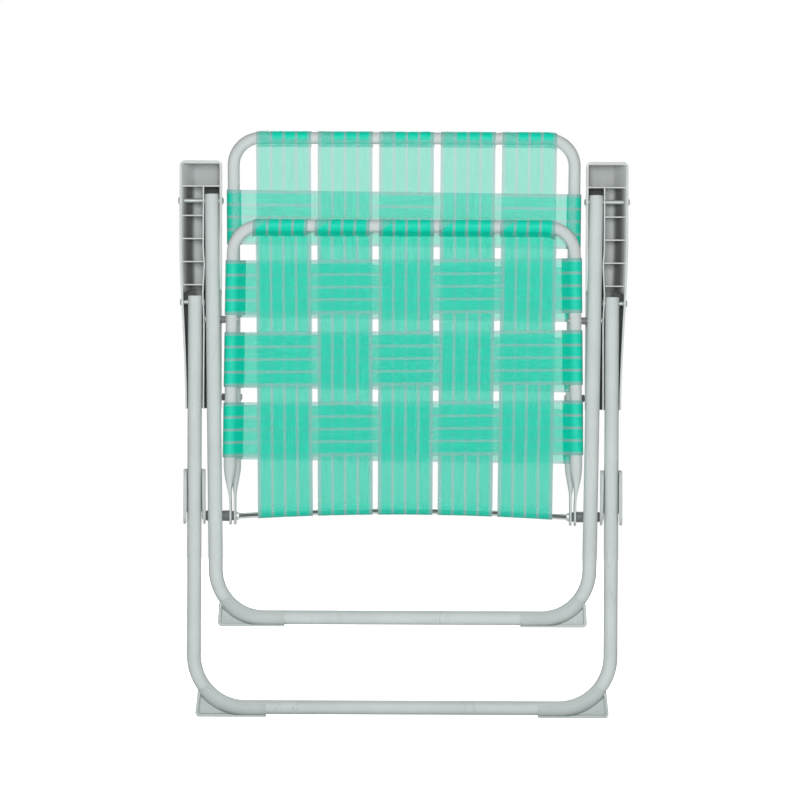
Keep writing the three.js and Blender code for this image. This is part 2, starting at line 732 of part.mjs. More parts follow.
// Rivets and spacers at the arm and seat pivots.
const armOuterAt = (z) => {
  const share = THREE.MathUtils.smoothstep(z, armRear, armRear + armFlareLength);
  return armOuterFaceRear + armFlare * share;
};
addPair("front_leg_pin", rivet(armInnerFace, armOuterAt(frontLegPivot.z)), "steel", frontLegPivot);
const rearRivet = rivet(armDividerX - armDividerWall / 2, armOuterAt(rearLegPivot.z));
addPair("rear_leg_pin", rearRivet, "steel", rearLegPivot);
const backTubeX = backHalfAt(backPivot.z);
addPair("back_rivet", rivet(backTubeX - frameRadius, bossEnd), "steel", backPivot);
const backSpacer = collar(
  backTubeX + frameRadius + clearance, armInnerFace - clearance, pinRoom, spacerDiameter / 2,
);
addPair("back_spacer", backSpacer, "steel", backPivot);
const seatTubeX = seatHalfAt(seatPivot.z);
const seatLegX = frontLegHalfAt(seatHole.z);
addPair("seat_rivet", rivet(seatTubeX - frameRadius, seatLegX + legRadius), "steel", seatPivot);
const seatSpacer = collar(
  seatTubeX + frameRadius + clearance, seatLegX - legRadius - clearance, pinRoom, spacerDiameter / 2,
);
addPair("seat_spacer", seatSpacer, "steel", seatPivot);

// Webbing. A band is drawn as its long section and carried over its width.
function bandOutline(path) {
  const half = webThickness / 2;
  const sides = path.map((point, i) => {
    const before = path[Math.max(i - 1, 0)];
    const after = path[Math.min(i + 1, path.length - 1)];
    const into = point.clone().sub(before).normalize();
    const outOf = after.clone().sub(point).normalize();
    const along = into.add(outOf).normalize();
    const normal = new THREE.Vector2(-along.y, along.x).multiplyScalar(half);
    return [point.clone().add(normal), point.clone().sub(normal)];
  });
  const upper = sides.map(([side]) => side);
  const lower = sides.map(([, side]) => side).reverse();
  return new THREE.Shape([...upper, ...lower]);
}

const wrapRadius = frameRadius + wrapGap + webThickness / 2;

function arc(centre, radius, from, to, steps) {
  return Array.from({ length: steps + 1 }, (_, k) => {
    const angle = THREE.MathUtils.lerp(from, to, k / steps);
    return new THREE.Vector2(
      centre.x + radius * Math.cos(angle),
      centre.y + radius * Math.sin(angle),
    );
  });
}

// The way of a band round a tube at the origin: it comes in along +Y of the section, goes round
// the outer side and ends as a flap that lies under the band, which falls by slope beside the tube.
function wrap(slope = 0) {
  const end = new THREE.Vector2(-flapReach, wrapRadius - slope * flapReach - webThickness - flapGap);
  const leave = Math.atan2(end.y, end.x) + Math.acos(wrapRadius / end.length()) - 2 * Math.PI;
  return [...arc(new THREE.Vector2(), wrapRadius, Math.PI / 2, leave, 7), end];
}

const webPitch = webWidth + webGap;
const slots = Array.from({ length: longWebCount }, (_, i) => i - (longWebCount - 1) / 2);

// The long bands of a frame lie on one plane, from the sat-on or leant-on side of the end bar to the
// given side of the rod.
function longBandPlane(planeY, face, barZ, rodSide) {
  const topY = planeY + face * wrapRadius;
  const down = (z) => (barZ - z) / (barZ - hinge.z);
  const at = (z) => topY + (rodSide - topY) * down(z);
  // The bands sit a little off the middle, and are drawn in towards it from the bar to the rod.
  const centreAt = (slot, z) => webOffset + slot * webPitch * (1 - webDrawIn * down(z));
  return { topY, barZ, at, centreAt };
}

const rodLoopRadius = rodRadius + clearance + webThickness / 2;
const rodWrapRadius = rodLoopRadius + webThickness + clearance;
const backBar = hinge.z + backHeight;
const seatBar = hinge.z + seatDepth;
const backBands = longBandPlane(backPlane.y, -1, backBar, rodWrapRadius);
const seatBands = longBandPlane(seatPlane.y, 1, seatBar, -rodLoopRadius);

function longBand(planeY, face, barZ, rodEndPath) {
  const round = wrap().map((p) => new THREE.Vector2(planeY + face * p.y, barZ + p.x));
  return bandOutline([...round.reverse(), ...rodEndPath]);
}

const hingePoint = new THREE.Vector2(hinge.y, hinge.z);
const backRodPath = arc(hingePoint, rodWrapRadius, 0, -backRodTurn, 4);
const seatRodPath = arc(hingePoint, rodLoopRadius, Math.PI, Math.PI + seatRodTurn, 8);

// Carries a long band over its width. Past the start of the bar's bend, its wrap sinks with the bar,
// and is taller where the bar slopes.
function longWeb(outline, slot, bendStart, bands) {
  const x = bands.centreAt(slot, bands.barZ);
  const [x0, x1] = [x - webWidth / 2, x + webWidth / 2];
  const outer = Math.max(-x0, x1);
  const inner = outer - webWidth;
  const past = outer - bendStart;
  const stops = past > 0 ? [inner, bendStart, bendStart + past / 2, outer] : [inner, outer];
  const steps = stops.length - 1;
  const band = prismAlongX(outline, x0, x1, steps);
  const position = band.getAttribute("position");
  for (let i = 0; i < position.count; i++) {
    const z = position.getZ(i);
    const way = x < 0 ? -1 : 1;
    const across = stops[Math.round(((way * position.getX(i) - inner) * steps) / webWidth)];
    const into = Math.max(across - bendStart, 0);
    const left = Math.sqrt(frameBendRadius ** 2 - into ** 2);
    const sunk = frameBendRadius - left;
    const stretch = frameBendRadius / left;
    const onWrap = z > bands.barZ - flapReach - webThickness;
    position.setX(i, way * across + bands.centreAt(slot, z) - x);
    position.setZ(i, onWrap ? bands.barZ - sunk + (z - bands.barZ) * stretch : z);
  }
  return band;
}

const backBand = longBand(backPlane.y, -1, backBar, backRodPath);
const seatBand = longBand(seatPlane.y, 1, seatBar, seatRodPath);
slots.forEach((slot, i) => {
  const backWeb = longWeb(backBand, slot, backHalfTop - frameBendRadius, backBands);
  addPiece("back_long_web_" + (i + 1), backWeb, "web");
  const seatWeb = longWeb(seatBand, slot, seatHalfFront - frameBendRadius, seatBands);
  addPiece("seat_long_web_" + (i + 1), seatWeb, "web");
});

// A cross band weaves over and under the long bands and is wrapped round both side tubes.
// It follows the taper of the frame and the fall of the long bands.
function crossBand(row, z, planeY, face, halfAt, bands) {
  const half = halfAt(z);
  const lift = webThickness + weaveGap;
  const woven = slots.flatMap((slot, i) => {
    const x = bands.centreAt(slot, z);
    const y = bands.at(z) + ((i + row) % 2 ? lift : -lift);
    const reach = webWidth / 2 + 1;
    return [new THREE.Vector2(x - reach, y), new THREE.Vector2(x + reach, y)];
  });
  const slopeTo = (point) => (face * (bands.topY - point.y)) / (half - Math.abs(point.x));
  const end = (side, point) =>
    wrap(slopeTo(point)).map((p) => new THREE.Vector2(side * (half + p.x), planeY + face * p.y));
  const left = end(-1, woven[0]).reverse();
  const right = end(1, woven[woven.length - 1]);
  const outline = bandOutline([...left, ...woven, ...right]);
  const band = new THREE.ExtrudeGeometry(outline, { depth: webWidth, bevelEnabled: false });
  band.translate(0, 0, z - webWidth / 2);
  const wovenReach = half - flapReach - clearance;
  const position = band.getAttribute("position");
  for (let i = 0; i < position.count; i++) {
    const [x, height] = [position.getX(i), position.getZ(i)];
    const fall = Math.abs(x) < wovenReach ? bands.at(height) - bands.at(z) : 0;
    position.setX(i, (x * halfAt(height)) / half);
    position.setY(i, position.getY(i) + fall);
  }
  return welded(band);
}

for (let row = 0; row < backRowCount; row++) {
  const z = backPivot.z - rowBelowBackPivot - webWidth / 2 + row * (webWidth + backRowGap);
  const band = crossBand(row, z, backPlane.y, -1, backHalfAt, backBands);
  addPiece("back_cross_web_" + (row + 1), band, "web");
}
for (let row = 0; row < seatRowCount; row++) {
  const down = (seatRowCount - 1 - row) * (webWidth + seatRowGap);
  const z = seatPivot.z + rowAboveSeatPivot + webWidth / 2 - down;
  const band = crossBand(row + 1, z, seatPlane.y, 1, seatHalfAt, seatBands);
  addPiece("seat_cross_web_" + (row + 1), band, "web");
}

// The frame's origin is on the floor, under the middle of the folded chair's box.
const box = new THREE.Box3().setFromObject(chair, true);
folded.position.y = -(box.min.y + box.max.y) / 2;

export default chair;
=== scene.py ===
import math

import bpy
import numpy as np
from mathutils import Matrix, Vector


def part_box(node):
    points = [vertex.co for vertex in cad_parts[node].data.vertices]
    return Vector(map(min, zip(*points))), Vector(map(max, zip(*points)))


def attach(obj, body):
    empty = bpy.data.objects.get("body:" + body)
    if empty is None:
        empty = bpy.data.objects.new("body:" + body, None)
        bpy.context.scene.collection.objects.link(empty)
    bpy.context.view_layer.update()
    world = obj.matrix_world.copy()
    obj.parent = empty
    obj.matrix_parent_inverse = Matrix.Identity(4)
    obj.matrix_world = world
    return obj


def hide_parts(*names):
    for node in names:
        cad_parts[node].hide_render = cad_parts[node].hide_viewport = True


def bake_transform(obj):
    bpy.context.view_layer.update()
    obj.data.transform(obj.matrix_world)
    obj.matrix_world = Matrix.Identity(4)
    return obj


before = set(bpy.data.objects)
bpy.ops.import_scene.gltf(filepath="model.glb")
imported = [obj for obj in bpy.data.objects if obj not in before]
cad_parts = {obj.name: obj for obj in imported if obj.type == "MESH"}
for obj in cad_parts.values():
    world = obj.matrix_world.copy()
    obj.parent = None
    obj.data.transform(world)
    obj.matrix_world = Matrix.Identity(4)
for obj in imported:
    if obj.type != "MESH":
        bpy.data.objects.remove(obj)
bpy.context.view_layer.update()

# Rear leg frame: one length of 19 mm steel tube bent to a wide U, sprayed silver grey and baked.
# The folded chair stands on it. Its open ends go up into the armrests and are riveted there.
leg_radius = 0.0095
leg_wall = 0.0012
leg_overhang = 0.0085
sole = 0.003
rear_half = 0.2779
rear_bend = 0.069
rear_pivot = 0.5525
bend_steps = 24
rear_low, rear_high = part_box("rear_leg_frame")
fold_y = (rear_low.y + rear_high.y) / 2


def joined(*coordinates):
    """Points from their coordinates, each spread over the shape that all of them share."""
    return np.stack(np.broadcast_arrays(*coordinates), axis=-1)


def u_shape(half_open, open_end, half_closed, closed_end):
    """The four corners of a U, at half widths: an open end, the closed end's two, the other open end."""
    closed = [(-half_closed, closed_end), (half_closed, closed_end)]
    return [(-half_open, open_end), *closed, (half_open, open_end)]


def bent_path(corners, radius, ends=(0,)):
    """Points and headings, in X and Z, along straight runs whose inner corners are rounded: a bend
    starts radius times the tangent of half its turn before the corner, and turns evenly about a
    centre that lies radius to the inside. Stations stand at the given distances from both ends."""
    corners = np.array(corners, float)
    runs = np.diff(corners, axis=0)
    ways = runs / np.linalg.norm(runs, axis=1, keepdims=True)
    ends = np.array(ends, float)[:, None]
    points = [corners[0] + ends * ways[0]]
    headings = [np.repeat(ways[:1], len(ends), axis=0)]
    for corner, before, after in zip(corners[1:-1], ways[:-1], ways[1:]):
        left = np.array([-before[1], before[0]])
        turn = math.atan2(left @ after, before @ after)
        inside = math.copysign(1, turn) * left
        start = corner - before * radius * math.tan(abs(turn) / 2)
        angle = np.linspace(0, turn, bend_steps + 1)[:, None]
        heading = np.cos(angle) * before + np.sin(angle) * left
        outward = joined(heading[:, 1], -heading[:, 0]) * math.copysign(1, turn)
        points.append(start + inside * radius + outward * radius)
        headings.append(heading)
    points.append(corners[-1] - ends[::-1] * ways[-1])
    headings.append(np.repeat(ways[-1:], len(ends), axis=0))
    return np.concatenate(points), np.concatenate(headings)


def arc(radius, angle):
    """Points at a radius in the directions of some angles: the radius times their cosine and sine."""
    return radius * joined(np.cos(angle), np.sin(angle))


def circle(radius, sides=36):
    """Points of a circle, at evenly spaced angles."""
    return arc(radius, np.arange(sides) * 2 * math.pi / sides)


def swept(points, headings, section):
    """Rings of a section carried along a path in X and Z: the section's first value goes to the left
    of the heading, and its second along Y. The section is one outline, or one for each station."""
    left = joined(-headings[:, 1], headings[:, 0])
    flat = points[:, None] + left[:, None] * section[..., :1]
    return joined(flat[..., 0], section[..., 1], flat[..., 1])


def skin(rings, loop=False):
    """Points and faces of a closed skin over rings of equal count: four-sided faces join each ring
    to the next. With loop the last ring joins the first, and otherwise strips across fill both ends.
    The faces are turned round if the enclosed volume comes out negative."""
    count, around = rings.shape[:2]
    here = np.arange(count if loop else count - 1)[:, None] * around
    there = (here + around) % (count * around)
    side = np.arange(around)[None]
    beside = (side + 1) % around
    quads = np.stack([here + side, here + beside, there + beside, there + side], axis=-1)
    faces = [quads.reshape(-1, 4)]
    if not loop:
        k = np.arange(around // 2 - 1)
        strip = np.stack([k + 1, k, around - 1 - k, around - 2 - k], axis=1)
        faces += [strip, strip[:, ::-1] + (count - 1) * around]
    faces = np.concatenate(faces)
    points = rings.reshape(-1, 3)
    a, b, c, d = (points[faces[:, i]] for i in range(4))
    volume = np.einsum("ij,ij->", a, np.cross(b, c) + np.cross(c, d))
    return points, faces if volume > 0 else faces[:, ::-1]


def in_frame(shapes, tilt, height):
    """Skins drawn in a leg frame's own plane, turned about X by the tilt and lifted to the pivot."""
    cos, sin = math.cos(tilt), math.sin(tilt)
    turn = np.array([[1, 0, 0], [0, cos, -sin], [0, sin, cos]])
    return [(points @ turn.T + (0, fold_y, height), faces) for points, faces in shapes]


def in_scene(name, data):
    """A new object of the scene."""
    made = bpy.data.objects.new(name, data)
    bpy.context.scene.collection.objects.link(made)
    return made


def piece(name, shapes, material, body, node, crease=32):
    """One mesh of several closed skins, smooth except along creases, riding on a body for a CAD node.
    A piece that is to bend between two bodies rides on none."""
    starts = np.cumsum([0] + [len(points) for points, _ in shapes])
    points = np.concatenate([points for points, _ in shapes])
    faces = np.concatenate([faces + start for (_, faces), start in zip(shapes, starts)])
    mesh = bpy.data.meshes.new(name)
    mesh.from_pydata(points.tolist(), [], faces.tolist())
    mesh.shade_smooth()
    mesh.set_sharp_from_angle(angle=math.radians(crease))
    mesh.materials.append(material)
    made = in_scene(name, mesh)
    if body:
        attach(made, body)
    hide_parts(node)
    return made


def pipe(points, headings, radius, wall):
    """A tube with a bore: its outer skin runs to the far end, turns in over the wall and runs back."""
    outer = swept(points, headings, circle(radius))
    bore = swept(points, headings, circle(radius - wall))
    return skin(np.concatenate([outer, bore[::-1]]), loop=True)


def put(tree, node, inputs):
    """Sets a node's inputs to values, or links them from other sockets."""
    for label, value in inputs.items():
        if isinstance(value, bpy.types.NodeSocket):
            tree.links.new(value, node.inputs[label])
        else:
            node.inputs[label].default_value = value


def add(tree, kind, inputs=None, **settings):
    """A new node with its settings and inputs."""
    made = tree.nodes.new(kind)
    for label, value in settings.items():
        setattr(made, label, value)
    put(tree, made, inputs or {})
    return made


def worked(tree, operation, first, second=0.0):
    """What a Math node makes of one or two values."""
    return add(tree, "ShaderNodeMath", {0: first, 1: second}, operation=operation).outputs[0]


def ranged(tree, value, low, high, start=0.0, end=1.0):
    """A value between start and end, brought in proportion between low and high, and held there."""
    inputs = {"Value": value, "From Min": start, "From Max": end, "To Min": low, "To Max": high}
    return add(tree, "ShaderNodeMapRange", inputs).outputs["Result"]


def mixed(tree, factor, first, second, data_type="RGBA"):
    """A colour, or with FLOAT a value, that lies between two others by a factor."""
    inputs = {"Factor": factor, "A": first, "B": second}
    return add(tree, "ShaderNodeMix", inputs, data_type=data_type).outputs["Result"]


def stretched(tree, place, scale):
    """Coordinates multiplied along each axis by a vector."""
    return add(tree, "ShaderNodeVectorMath", {0: place, 1: scale}, operation="MULTIPLY").outputs[0]


def noise(tree, place, scale, detail):
    """A plain noise at some coordinates."""
    inputs = {"Vector": place, "Scale": scale, "Detail": detail}
    return add(tree, "ShaderNodeTexNoise", inputs).outputs["Fac"]


def bumped(tree, height, distance, strength):
    """The surface's normal, tipped by a height."""
    inputs = {"Height": height, "Distance": distance, "Strength": strength}
    return add(tree, "ShaderNodeBump", inputs).outputs["Normal"]


def marked(tree, label):
    """What the mesh says under a label."""
    return add(tree, "ShaderNodeAttribute", attribute_name=label).outputs["Fac"]


def node_group(name, inputs, output):
    """An empty shader group: the group, its input sockets by name, and its output node. Inputs give
    their first value: three numbers or none for a vector, and one number for a value."""
    group = bpy.data.node_groups.new(name, "ShaderNodeTree")
    for label, value in inputs.items():
        kind = "NodeSocketFloat" if isinstance(value, float) else "NodeSocketVector"
        socket = group.interface.new_socket(label, in_out="INPUT", socket_type=kind)
        if value is not None:
            socket.default_value = value
    group.interface.new_socket(output, in_out="OUTPUT", socket_type="NodeSocketFloat")
    given = group.nodes.new("NodeGroupInput")
    return group, given.outputs, group.nodes.new("NodeGroupOutput")


def mottle_group():
    """Blotches of one size anywhere in space, between two values: the middle of a noise, spread."""
    inputs = {"Vector": None, "Scale": 100.0, "Low": 0.0, "High": 1.0}
    group, given, result = node_group("mottle", inputs, "Value")
    blotches = noise(group, given["Vector"], given["Scale"], 3)
    put(group, result, {"Value": ranged(group, blotches, given["Low"], given["High"], 0.32, 0.68)})
    return group


def rubs_group():
    """Sparse thin rubs: the narrow middle of a noise that is drawn out along one axis, kept only in
    patches of a second noise."""
    inputs = {"Vector": None, "Stretch": (60, 60, 9), "Width": 0.012}
    group, given, result = node_group("rubs", inputs, "Mask")
    drawn_out = noise(group, stretched(group, given["Vector"], given["Stretch"]), 1, 4)
    off_middle = worked(group, "ABSOLUTE", worked(group, "SUBTRACT", drawn_out, 0.5))
    thin = ranged(group, off_middle, 1, 0, 0, given["Width"])
    seldom = ranged(group, noise(group, given["Vector"], 17, 2), 0, 1, 0.52, 0.66)
    put(group, result, {"Mask": worked(group, "MULTIPLY", thin, seldom)})
    return group


mottle = mottle_group()
rubs = rubs_group()
blotch_scale = 21


def effect(tree, group, inputs):
    """What a shader group puts out in a material."""
    return add(tree, "ShaderNodeGroup", inputs, node_tree=group).outputs[0]


def new_material(name):
    """A material, its node tree and its shader."""
    material = bpy.data.materials.new(name)
    material.use_nodes = True
    return material, material.node_tree, material.node_tree.nodes["Principled BSDF"]


def finish(name, colour, dull, rubbed, rough, grain, relief, metallic=0.0, gloss=0.15, painted_shade=None):
    """A hard finish: two tones in broad blotches, rubs of a third tone, grain as bump and roughness.
    A painted shade colour, for the shade deep in hollows, is mixed in by the amount the mesh's attribute
    gives."""
    material, tree, shader = new_material(name)
    place = add(tree, "ShaderNodeTexCoord").outputs["Object"]
    broad = effect(tree, mottle, {"Vector": place, "Scale": blotch_scale})
    fine = effect(tree, mottle, {"Vector": place, "Scale": grain})
    marks = effect(tree, rubs, {"Vector": place})
    tone = mixed(tree, broad, (*colour, 1), (*dull, 1))
    tone = mixed(tree, marks, tone, (*rubbed, 1))
    # Painted shade: a dark colour mixed in where the mesh marks a point as deep in shade.
    if painted_shade:
        tone = mixed(tree, marked(tree, "painted_shade"), tone, (*painted_shade, 1))
    inputs = {
        "Base Color": tone,
        "Roughness": ranged(tree, fine, *rough),
        "Normal": bumped(tree, fine, relief, 0.6),
        "Metallic": metallic,
        "Specular IOR Level": gloss,
    }
    put(tree, shader, inputs)
    return material


silver_paint = finish(
    "silver_paint", (0.555, 0.60, 0.595), (0.52, 0.565, 0.56), (0.42, 0.45, 0.44),
    rough=(0.50, 0.62), grain=1700, relief=0.00012, gloss=0.01,
)
rear_corners = u_shape(rear_half, leg_overhang, rear_half, leg_radius + sole - rear_pivot)
rear_tube = in_frame([pipe(*bent_path(rear_corners, rear_bend), leg_radius, leg_wall)], 0, rear_pivot)
piece("rear_leg_tube", rear_tube, silver_paint, "rear_leg", "rear_leg_frame")

# Front leg frame: the same tube bent to a narrower U, closer together at its floor bar. It leans
# out of the folded stack about the pins in the armrests, and the seat is riveted to its sides.
front_half_top = 0.256
front_half_bottom = 0.2467
front_bend = 0.064
front_pivot = 0.6875
front_bar_drop = 0.5524
front_lean, front_lean_drop = 0.011, 0.158
front_tilt = -math.atan2(front_lean, front_lean_drop)
front_bar = -front_bar_drop / math.cos(front_tilt)
front_spread = (front_half_top - front_half_bottom) / -front_bar
front_half_end = front_half_top + front_spread * leg_overhang
front_corners = u_shape(front_half_end, leg_overhang, front_half_bottom, front_bar)
front_pipe = pipe(*bent_path(front_corners, front_bend), leg_radius, leg_wall)
front_tube = in_frame([front_pipe], front_tilt, front_pivot)
piece("front_leg_tube", front_tube, silver_paint, "front_leg", "front_leg_frame")

# Feet: grey moulded plastic, pressed over the outside of each floor bend. A half sleeve grips the
# tube, and a rim runs along the sole and up the heel with a thin web inside it.
foot_wall = 0.0022
foot_gap = 0.0004
foot_run = 0.0272
foot_lip = 0.0045
foot_share = 0.57
heel_half_depth = 0.0105
sole_rim, heel_rim = 0.0026, 0.0042
rim_grows = (0.012, 0.026)
heel_inset = 0.75 * heel_rim
heel_corner = 0.0045
heel_web_half = 0.002
foot_plastic = finish(
    "foot_plastic", (0.465, 0.515, 0.505), (0.42, 0.465, 0.455), (0.58, 0.62, 0.61),
    rough=(0.42, 0.56), grain=900, relief=0.00015,
)


def mirrored(shapes):
    """The same skins on the other side of the chair: X changes sign and each face turns round."""
    return [(points * (-1, 1, 1), faces[:, ::-1]) for points, faces in shapes]


def pair(name, shapes, material, body, node):
    """A piece for the right side and its mirror image for the left, with the side put after their
    names, and into the body's name where that asks for it."""
    return [
        piece(f"{name}_{side}", made, material, body.replace("SIDE", side), f"{node}_{side}")
        for side, made in (("right", shapes), ("left", mirrored(shapes)))
    ]


def ease(value, low, high):
    """A smooth rise from 0 at low to 1 at high: with s the clipped share of the way, 3s² less 2s³."""
    share = np.clip((value - low) / (high - low), 0, 1)
    return share * share * (3 - 2 * share)


def round_box(across, deep, power=0.22, sides=40):
    """A rounded oblong: half sizes times the cosine and sine, each raised to a low power."""
    unit = circle(1, sides)
    return np.sign(unit) * np.abs(unit) ** power * (across, deep)


def distance_along(points):
    """How far along a path each of its points lies: the sum of the steps up to it."""
    return np.concatenate([[0], np.cumsum(np.linalg.norm(np.diff(points, axis=0), axis=1))])


def foot(corners, bend):
    """The sleeve is a part circle carried along the bar and the bend. The rim is a rounded oblong
    carried along the sole and up to the sleeve's upper end. The web fills from the sleeve's outside
    to the rim: each station joins one point of the sleeve to the point at the same share of the rim."""
    points, headings = bent_path(corners, bend)
    first = bend_steps + 2
    covered = slice(first, first + round(foot_share * bend_steps) + 1)
    points, headings = points[covered], headings[covered]
    run = np.linspace(foot_run, 0, 6, endpoint=False)[:, None]
    path = np.concatenate([points[0] - run * headings[0], points])
    ways = np.concatenate([np.repeat(headings[:1], len(run), axis=0), headings])
    inner = leg_radius + foot_gap
    outer = inner + foot_wall
    open_outer, open_inner = math.acos(foot_lip / outer), math.acos(foot_lip / inner)
    there = np.linspace(open_outer, 2 * math.pi - open_outer, 36)
    back = np.linspace(2 * math.pi - open_inner, open_inner, 36)
    sleeve = skin(swept(path, ways, np.concatenate([arc(outer, there), arc(inner, back)])))

    outside = joined(headings[:, 1], -headings[:, 0])
    heel_top = points[-1] + outside[-1] * leg_radius
    low = corners[2][1] - leg_radius - sole + sole_rim / 2
    heel = corners[2][0] - heel_inset
    rim_path, rim_ways = bent_path([(path[0, 0], low), (heel, low), tuple(heel_top)], heel_corner)
    along = np.linspace(0, 1, 24, endpoint=False)[:, None]
    rim_path = np.concatenate([rim_path[0] + along * (rim_path[1] - rim_path[0]), rim_path[1:]])
    rim_ways = np.concatenate([np.repeat(rim_ways[:1], len(along), axis=0), rim_ways[1:]])
    wide = sole_rim + (heel_rim - sole_rim) * ease(rim_path[:, :1] - points[0, 0], *rim_grows)
    across, deep = round_box(0.5, heel_half_depth).T
    rim = skin(swept(rim_path, rim_ways, joined(across * wide + (wide - sole_rim) / 2, deep)))

    reach = distance_along(rim_path)
    share = np.linspace(points[0, 0] - path[0, 0], reach[-1], len(points))
    rim_side = joined(*(np.interp(share, reach, column) for column in rim_path.T))
    tube_side = points + outside * (inner + foot_wall / 2)
    edges = np.stack([tube_side, rim_side, rim_side, tube_side], axis=1)
    depths = heel_web_half * np.array([1, 1, -1, -1])
    return [sleeve, rim, skin(joined(edges[..., 0], depths, edges[..., 1]))]


for label, corners, bend, tilt, pivot in (
    ("rear", rear_corners, rear_bend, 0, rear_pivot),
    ("front", front_corners, front_bend, front_tilt, front_pivot),
):
    shoe = in_frame(foot(corners, bend), tilt, pivot)
    pair(f"{label}_shoe", shoe, foot_plastic, f"{label}_leg", f"{label}_foot")

# Back and seat frames: 16 mm tube in the same silver paint, bent to a U. Their lower ends are
# pressed flat, set over towards each other and rounded about the hinge rod that goes through them.
frame_radius = 0.008
frame_bend = 0.037
hinge_z = 0.268
frame_plane = 0.011
blade_half_thickness = 0.0015
blade_half_width = 0.01178
blade_set = 0.0075
blade_power = 0.3
blade_flat, blade_round_from = 0.034, 0.080
set_over_from, set_over_to = 0.020, 0.060
tip_start = 0.1


def flat_ended_frame(half_bottom, half_top, height, blade_x, plane):
    """A round section carried along the U. Near the ends its half sizes ease to those of a flat
    blade, its corners grow squarer, and it shifts across and towards the rod; the tip's half width
    is that of a circle about the rod."""
    tip = blade_half_width * (1 - np.cos(np.linspace(tip_start, math.pi / 2, 12)))
    ends = np.concatenate([tip, np.linspace(blade_half_width, blade_round_from, 48)[1:]])
    corners = u_shape(half_bottom, hinge_z - blade_half_width, half_top, hinge_z + height)
    points, ways = bent_path(corners, frame_bend, ends)
    steps = distance_along(points)
    from_end = (np.minimum(steps, steps[-1] - steps) + tip[0])[:, None]
    share = ease(from_end, blade_flat, blade_round_from)
    over = 1 - ease(from_end, set_over_from, set_over_to)
    into_tip = np.minimum(from_end, blade_half_width)
    rounding = np.sqrt(blade_half_width**2 - (blade_half_width - into_tip) ** 2)
    unit = circle(1, 48)
    power = (blade_power + (1 - blade_power) * share)[..., None]
    shape = np.sign(unit) * np.abs(unit) ** power
    across = shape[..., 0] * (blade_half_thickness + (frame_radius - blade_half_thickness) * share)
    deep = shape[..., 1] * (rounding + (frame_radius - rounding) * share)
    across = across + (blade_x - half_bottom) * over
    deep = deep - math.copysign(blade_set, plane) * over + fold_y + plane
    return skin(swept(points, ways, joined(across, deep)))


back_half_bottom, back_half_top, back_height = 0.2235, 0.2278, 0.504
back_sides = (back_half_bottom, back_half_top, back_height)
back_tube = flat_ended_frame(*back_sides, back_half_bottom, frame_plane)
piece("back_tube", [back_tube], silver_paint, "back", "back_frame")
seat_half_rear, seat_half_front, seat_depth = 0.2315, 0.227, 0.3865
seat_blade_x = 0.2295
seat_sides = (seat_half_rear, seat_half_front, seat_depth)
seat_tube = flat_ended_frame(*seat_sides, seat_blade_x, -frame_plane)
piece("seat_tube", [seat_tube], silver_paint, "seat", "seat_frame")

# Hinge rod: zinc-plated strip rolled to an 8 mm tube, with its seam left open towards the viewer. Its
# inside is painted in shade. The pull of the webbing bows it up a little between the flat ends of the
# frames.
rod_radius = 0.004
rod_wall = 0.0012
rod_seam = 0.45
rod_end = 0.2657
rod_bow = 0.0072
rod_bow_half = 0.2181
rod_rings, rod_steps = 81, 33
# The zinc's last colour is a painted shade, laid on the rod's inside where shade falls.
zinc = finish(
    "zinc_plate", (0.50, 0.54, 0.53), (0.43, 0.46, 0.45), (0.60, 0.63, 0.62),
    rough=(0.34, 0.50), grain=1300, relief=0.0001, metallic=0.5, gloss=0.3, painted_shade=(0.10, 0.11, 0.11),
)


def bow(x):
    """The rod's rise: the bow times one less the square of the share of the half span."""
    return rod_bow * np.clip(1 - (x / rod_bow_half) ** 2, 0, None)


def rolled_rod():
    """Rings of a C section in Y and Z, out round the outside and back round the inside, along X."""
    x = np.linspace(-rod_end, rod_end, rod_rings)[:, None]
    out = np.linspace(math.pi + rod_seam, 3 * math.pi - rod_seam, rod_steps)
    angle = np.concatenate([out, out[::-1]])
    radius = np.repeat([rod_radius, rod_radius - rod_wall], rod_steps)
    return skin(joined(x, fold_y + radius * np.cos(angle), hinge_z + radius * np.sin(angle) + bow(x)))


def mark(made, label, values):
    """Gives each point of a piece's mesh a value under a label, for the material to read."""
    attribute = made.data.attributes.new(label, "FLOAT", "POINT")
    attribute.data.foreach_set("value", values.astype(np.float32).ravel())


rod = piece("rolled_rod", [rolled_rod()], zinc, "back", "hinge_rod")
# The rod's inner face gets the full painted shade, its outer face none.
mark(rod, "painted_shade", np.tile(np.repeat([0.0, 1.0], rod_steps), rod_rings))

# What the rod carries on each side: a flanged nut, a spacer between the flat ends, a dark sleeve,
# a washer and a domed end cap. All are turned or pressed round pieces.
rod_bore = 0.0043
axis_ring = 0.0001
dark_plastic = finish(
    "dark_plastic", (0.125, 0.135, 0.135), (0.165, 0.175, 0.175), (0.26, 0.27, 0.27),
    rough=(0.38, 0.52), grain=1100, relief=0.00012,
)


def turned(profile, y, z, sides=40):
    """A piece turned about an axis along X: each profile point, a distance and a radius, makes a
    ring. A profile that ends where it starts makes a ring with a bore."""
    profile = np.array(profile, float)
    loop = bool(np.allclose(profile[0], profile[-1]))
    profile = profile[:-1] if loop else profile
    along, radius = profile[:, :1], profile[:, 1:]
    unit = circle(1, sides)
    return skin(joined(along, y + radius * unit[:, 0], z + radius * unit[:, 1]), loop)


def collar(start, end, bore, radius, chamfer=0.0004):
    """The closed profile of a plain ring with its outer edges broken."""
    return [
        (start, bore), (start, radius - chamfer), (start + chamfer, radius),
        (end - chamfer, radius), (end, radius - chamfer), (end, bore), (start, bore),
    ]


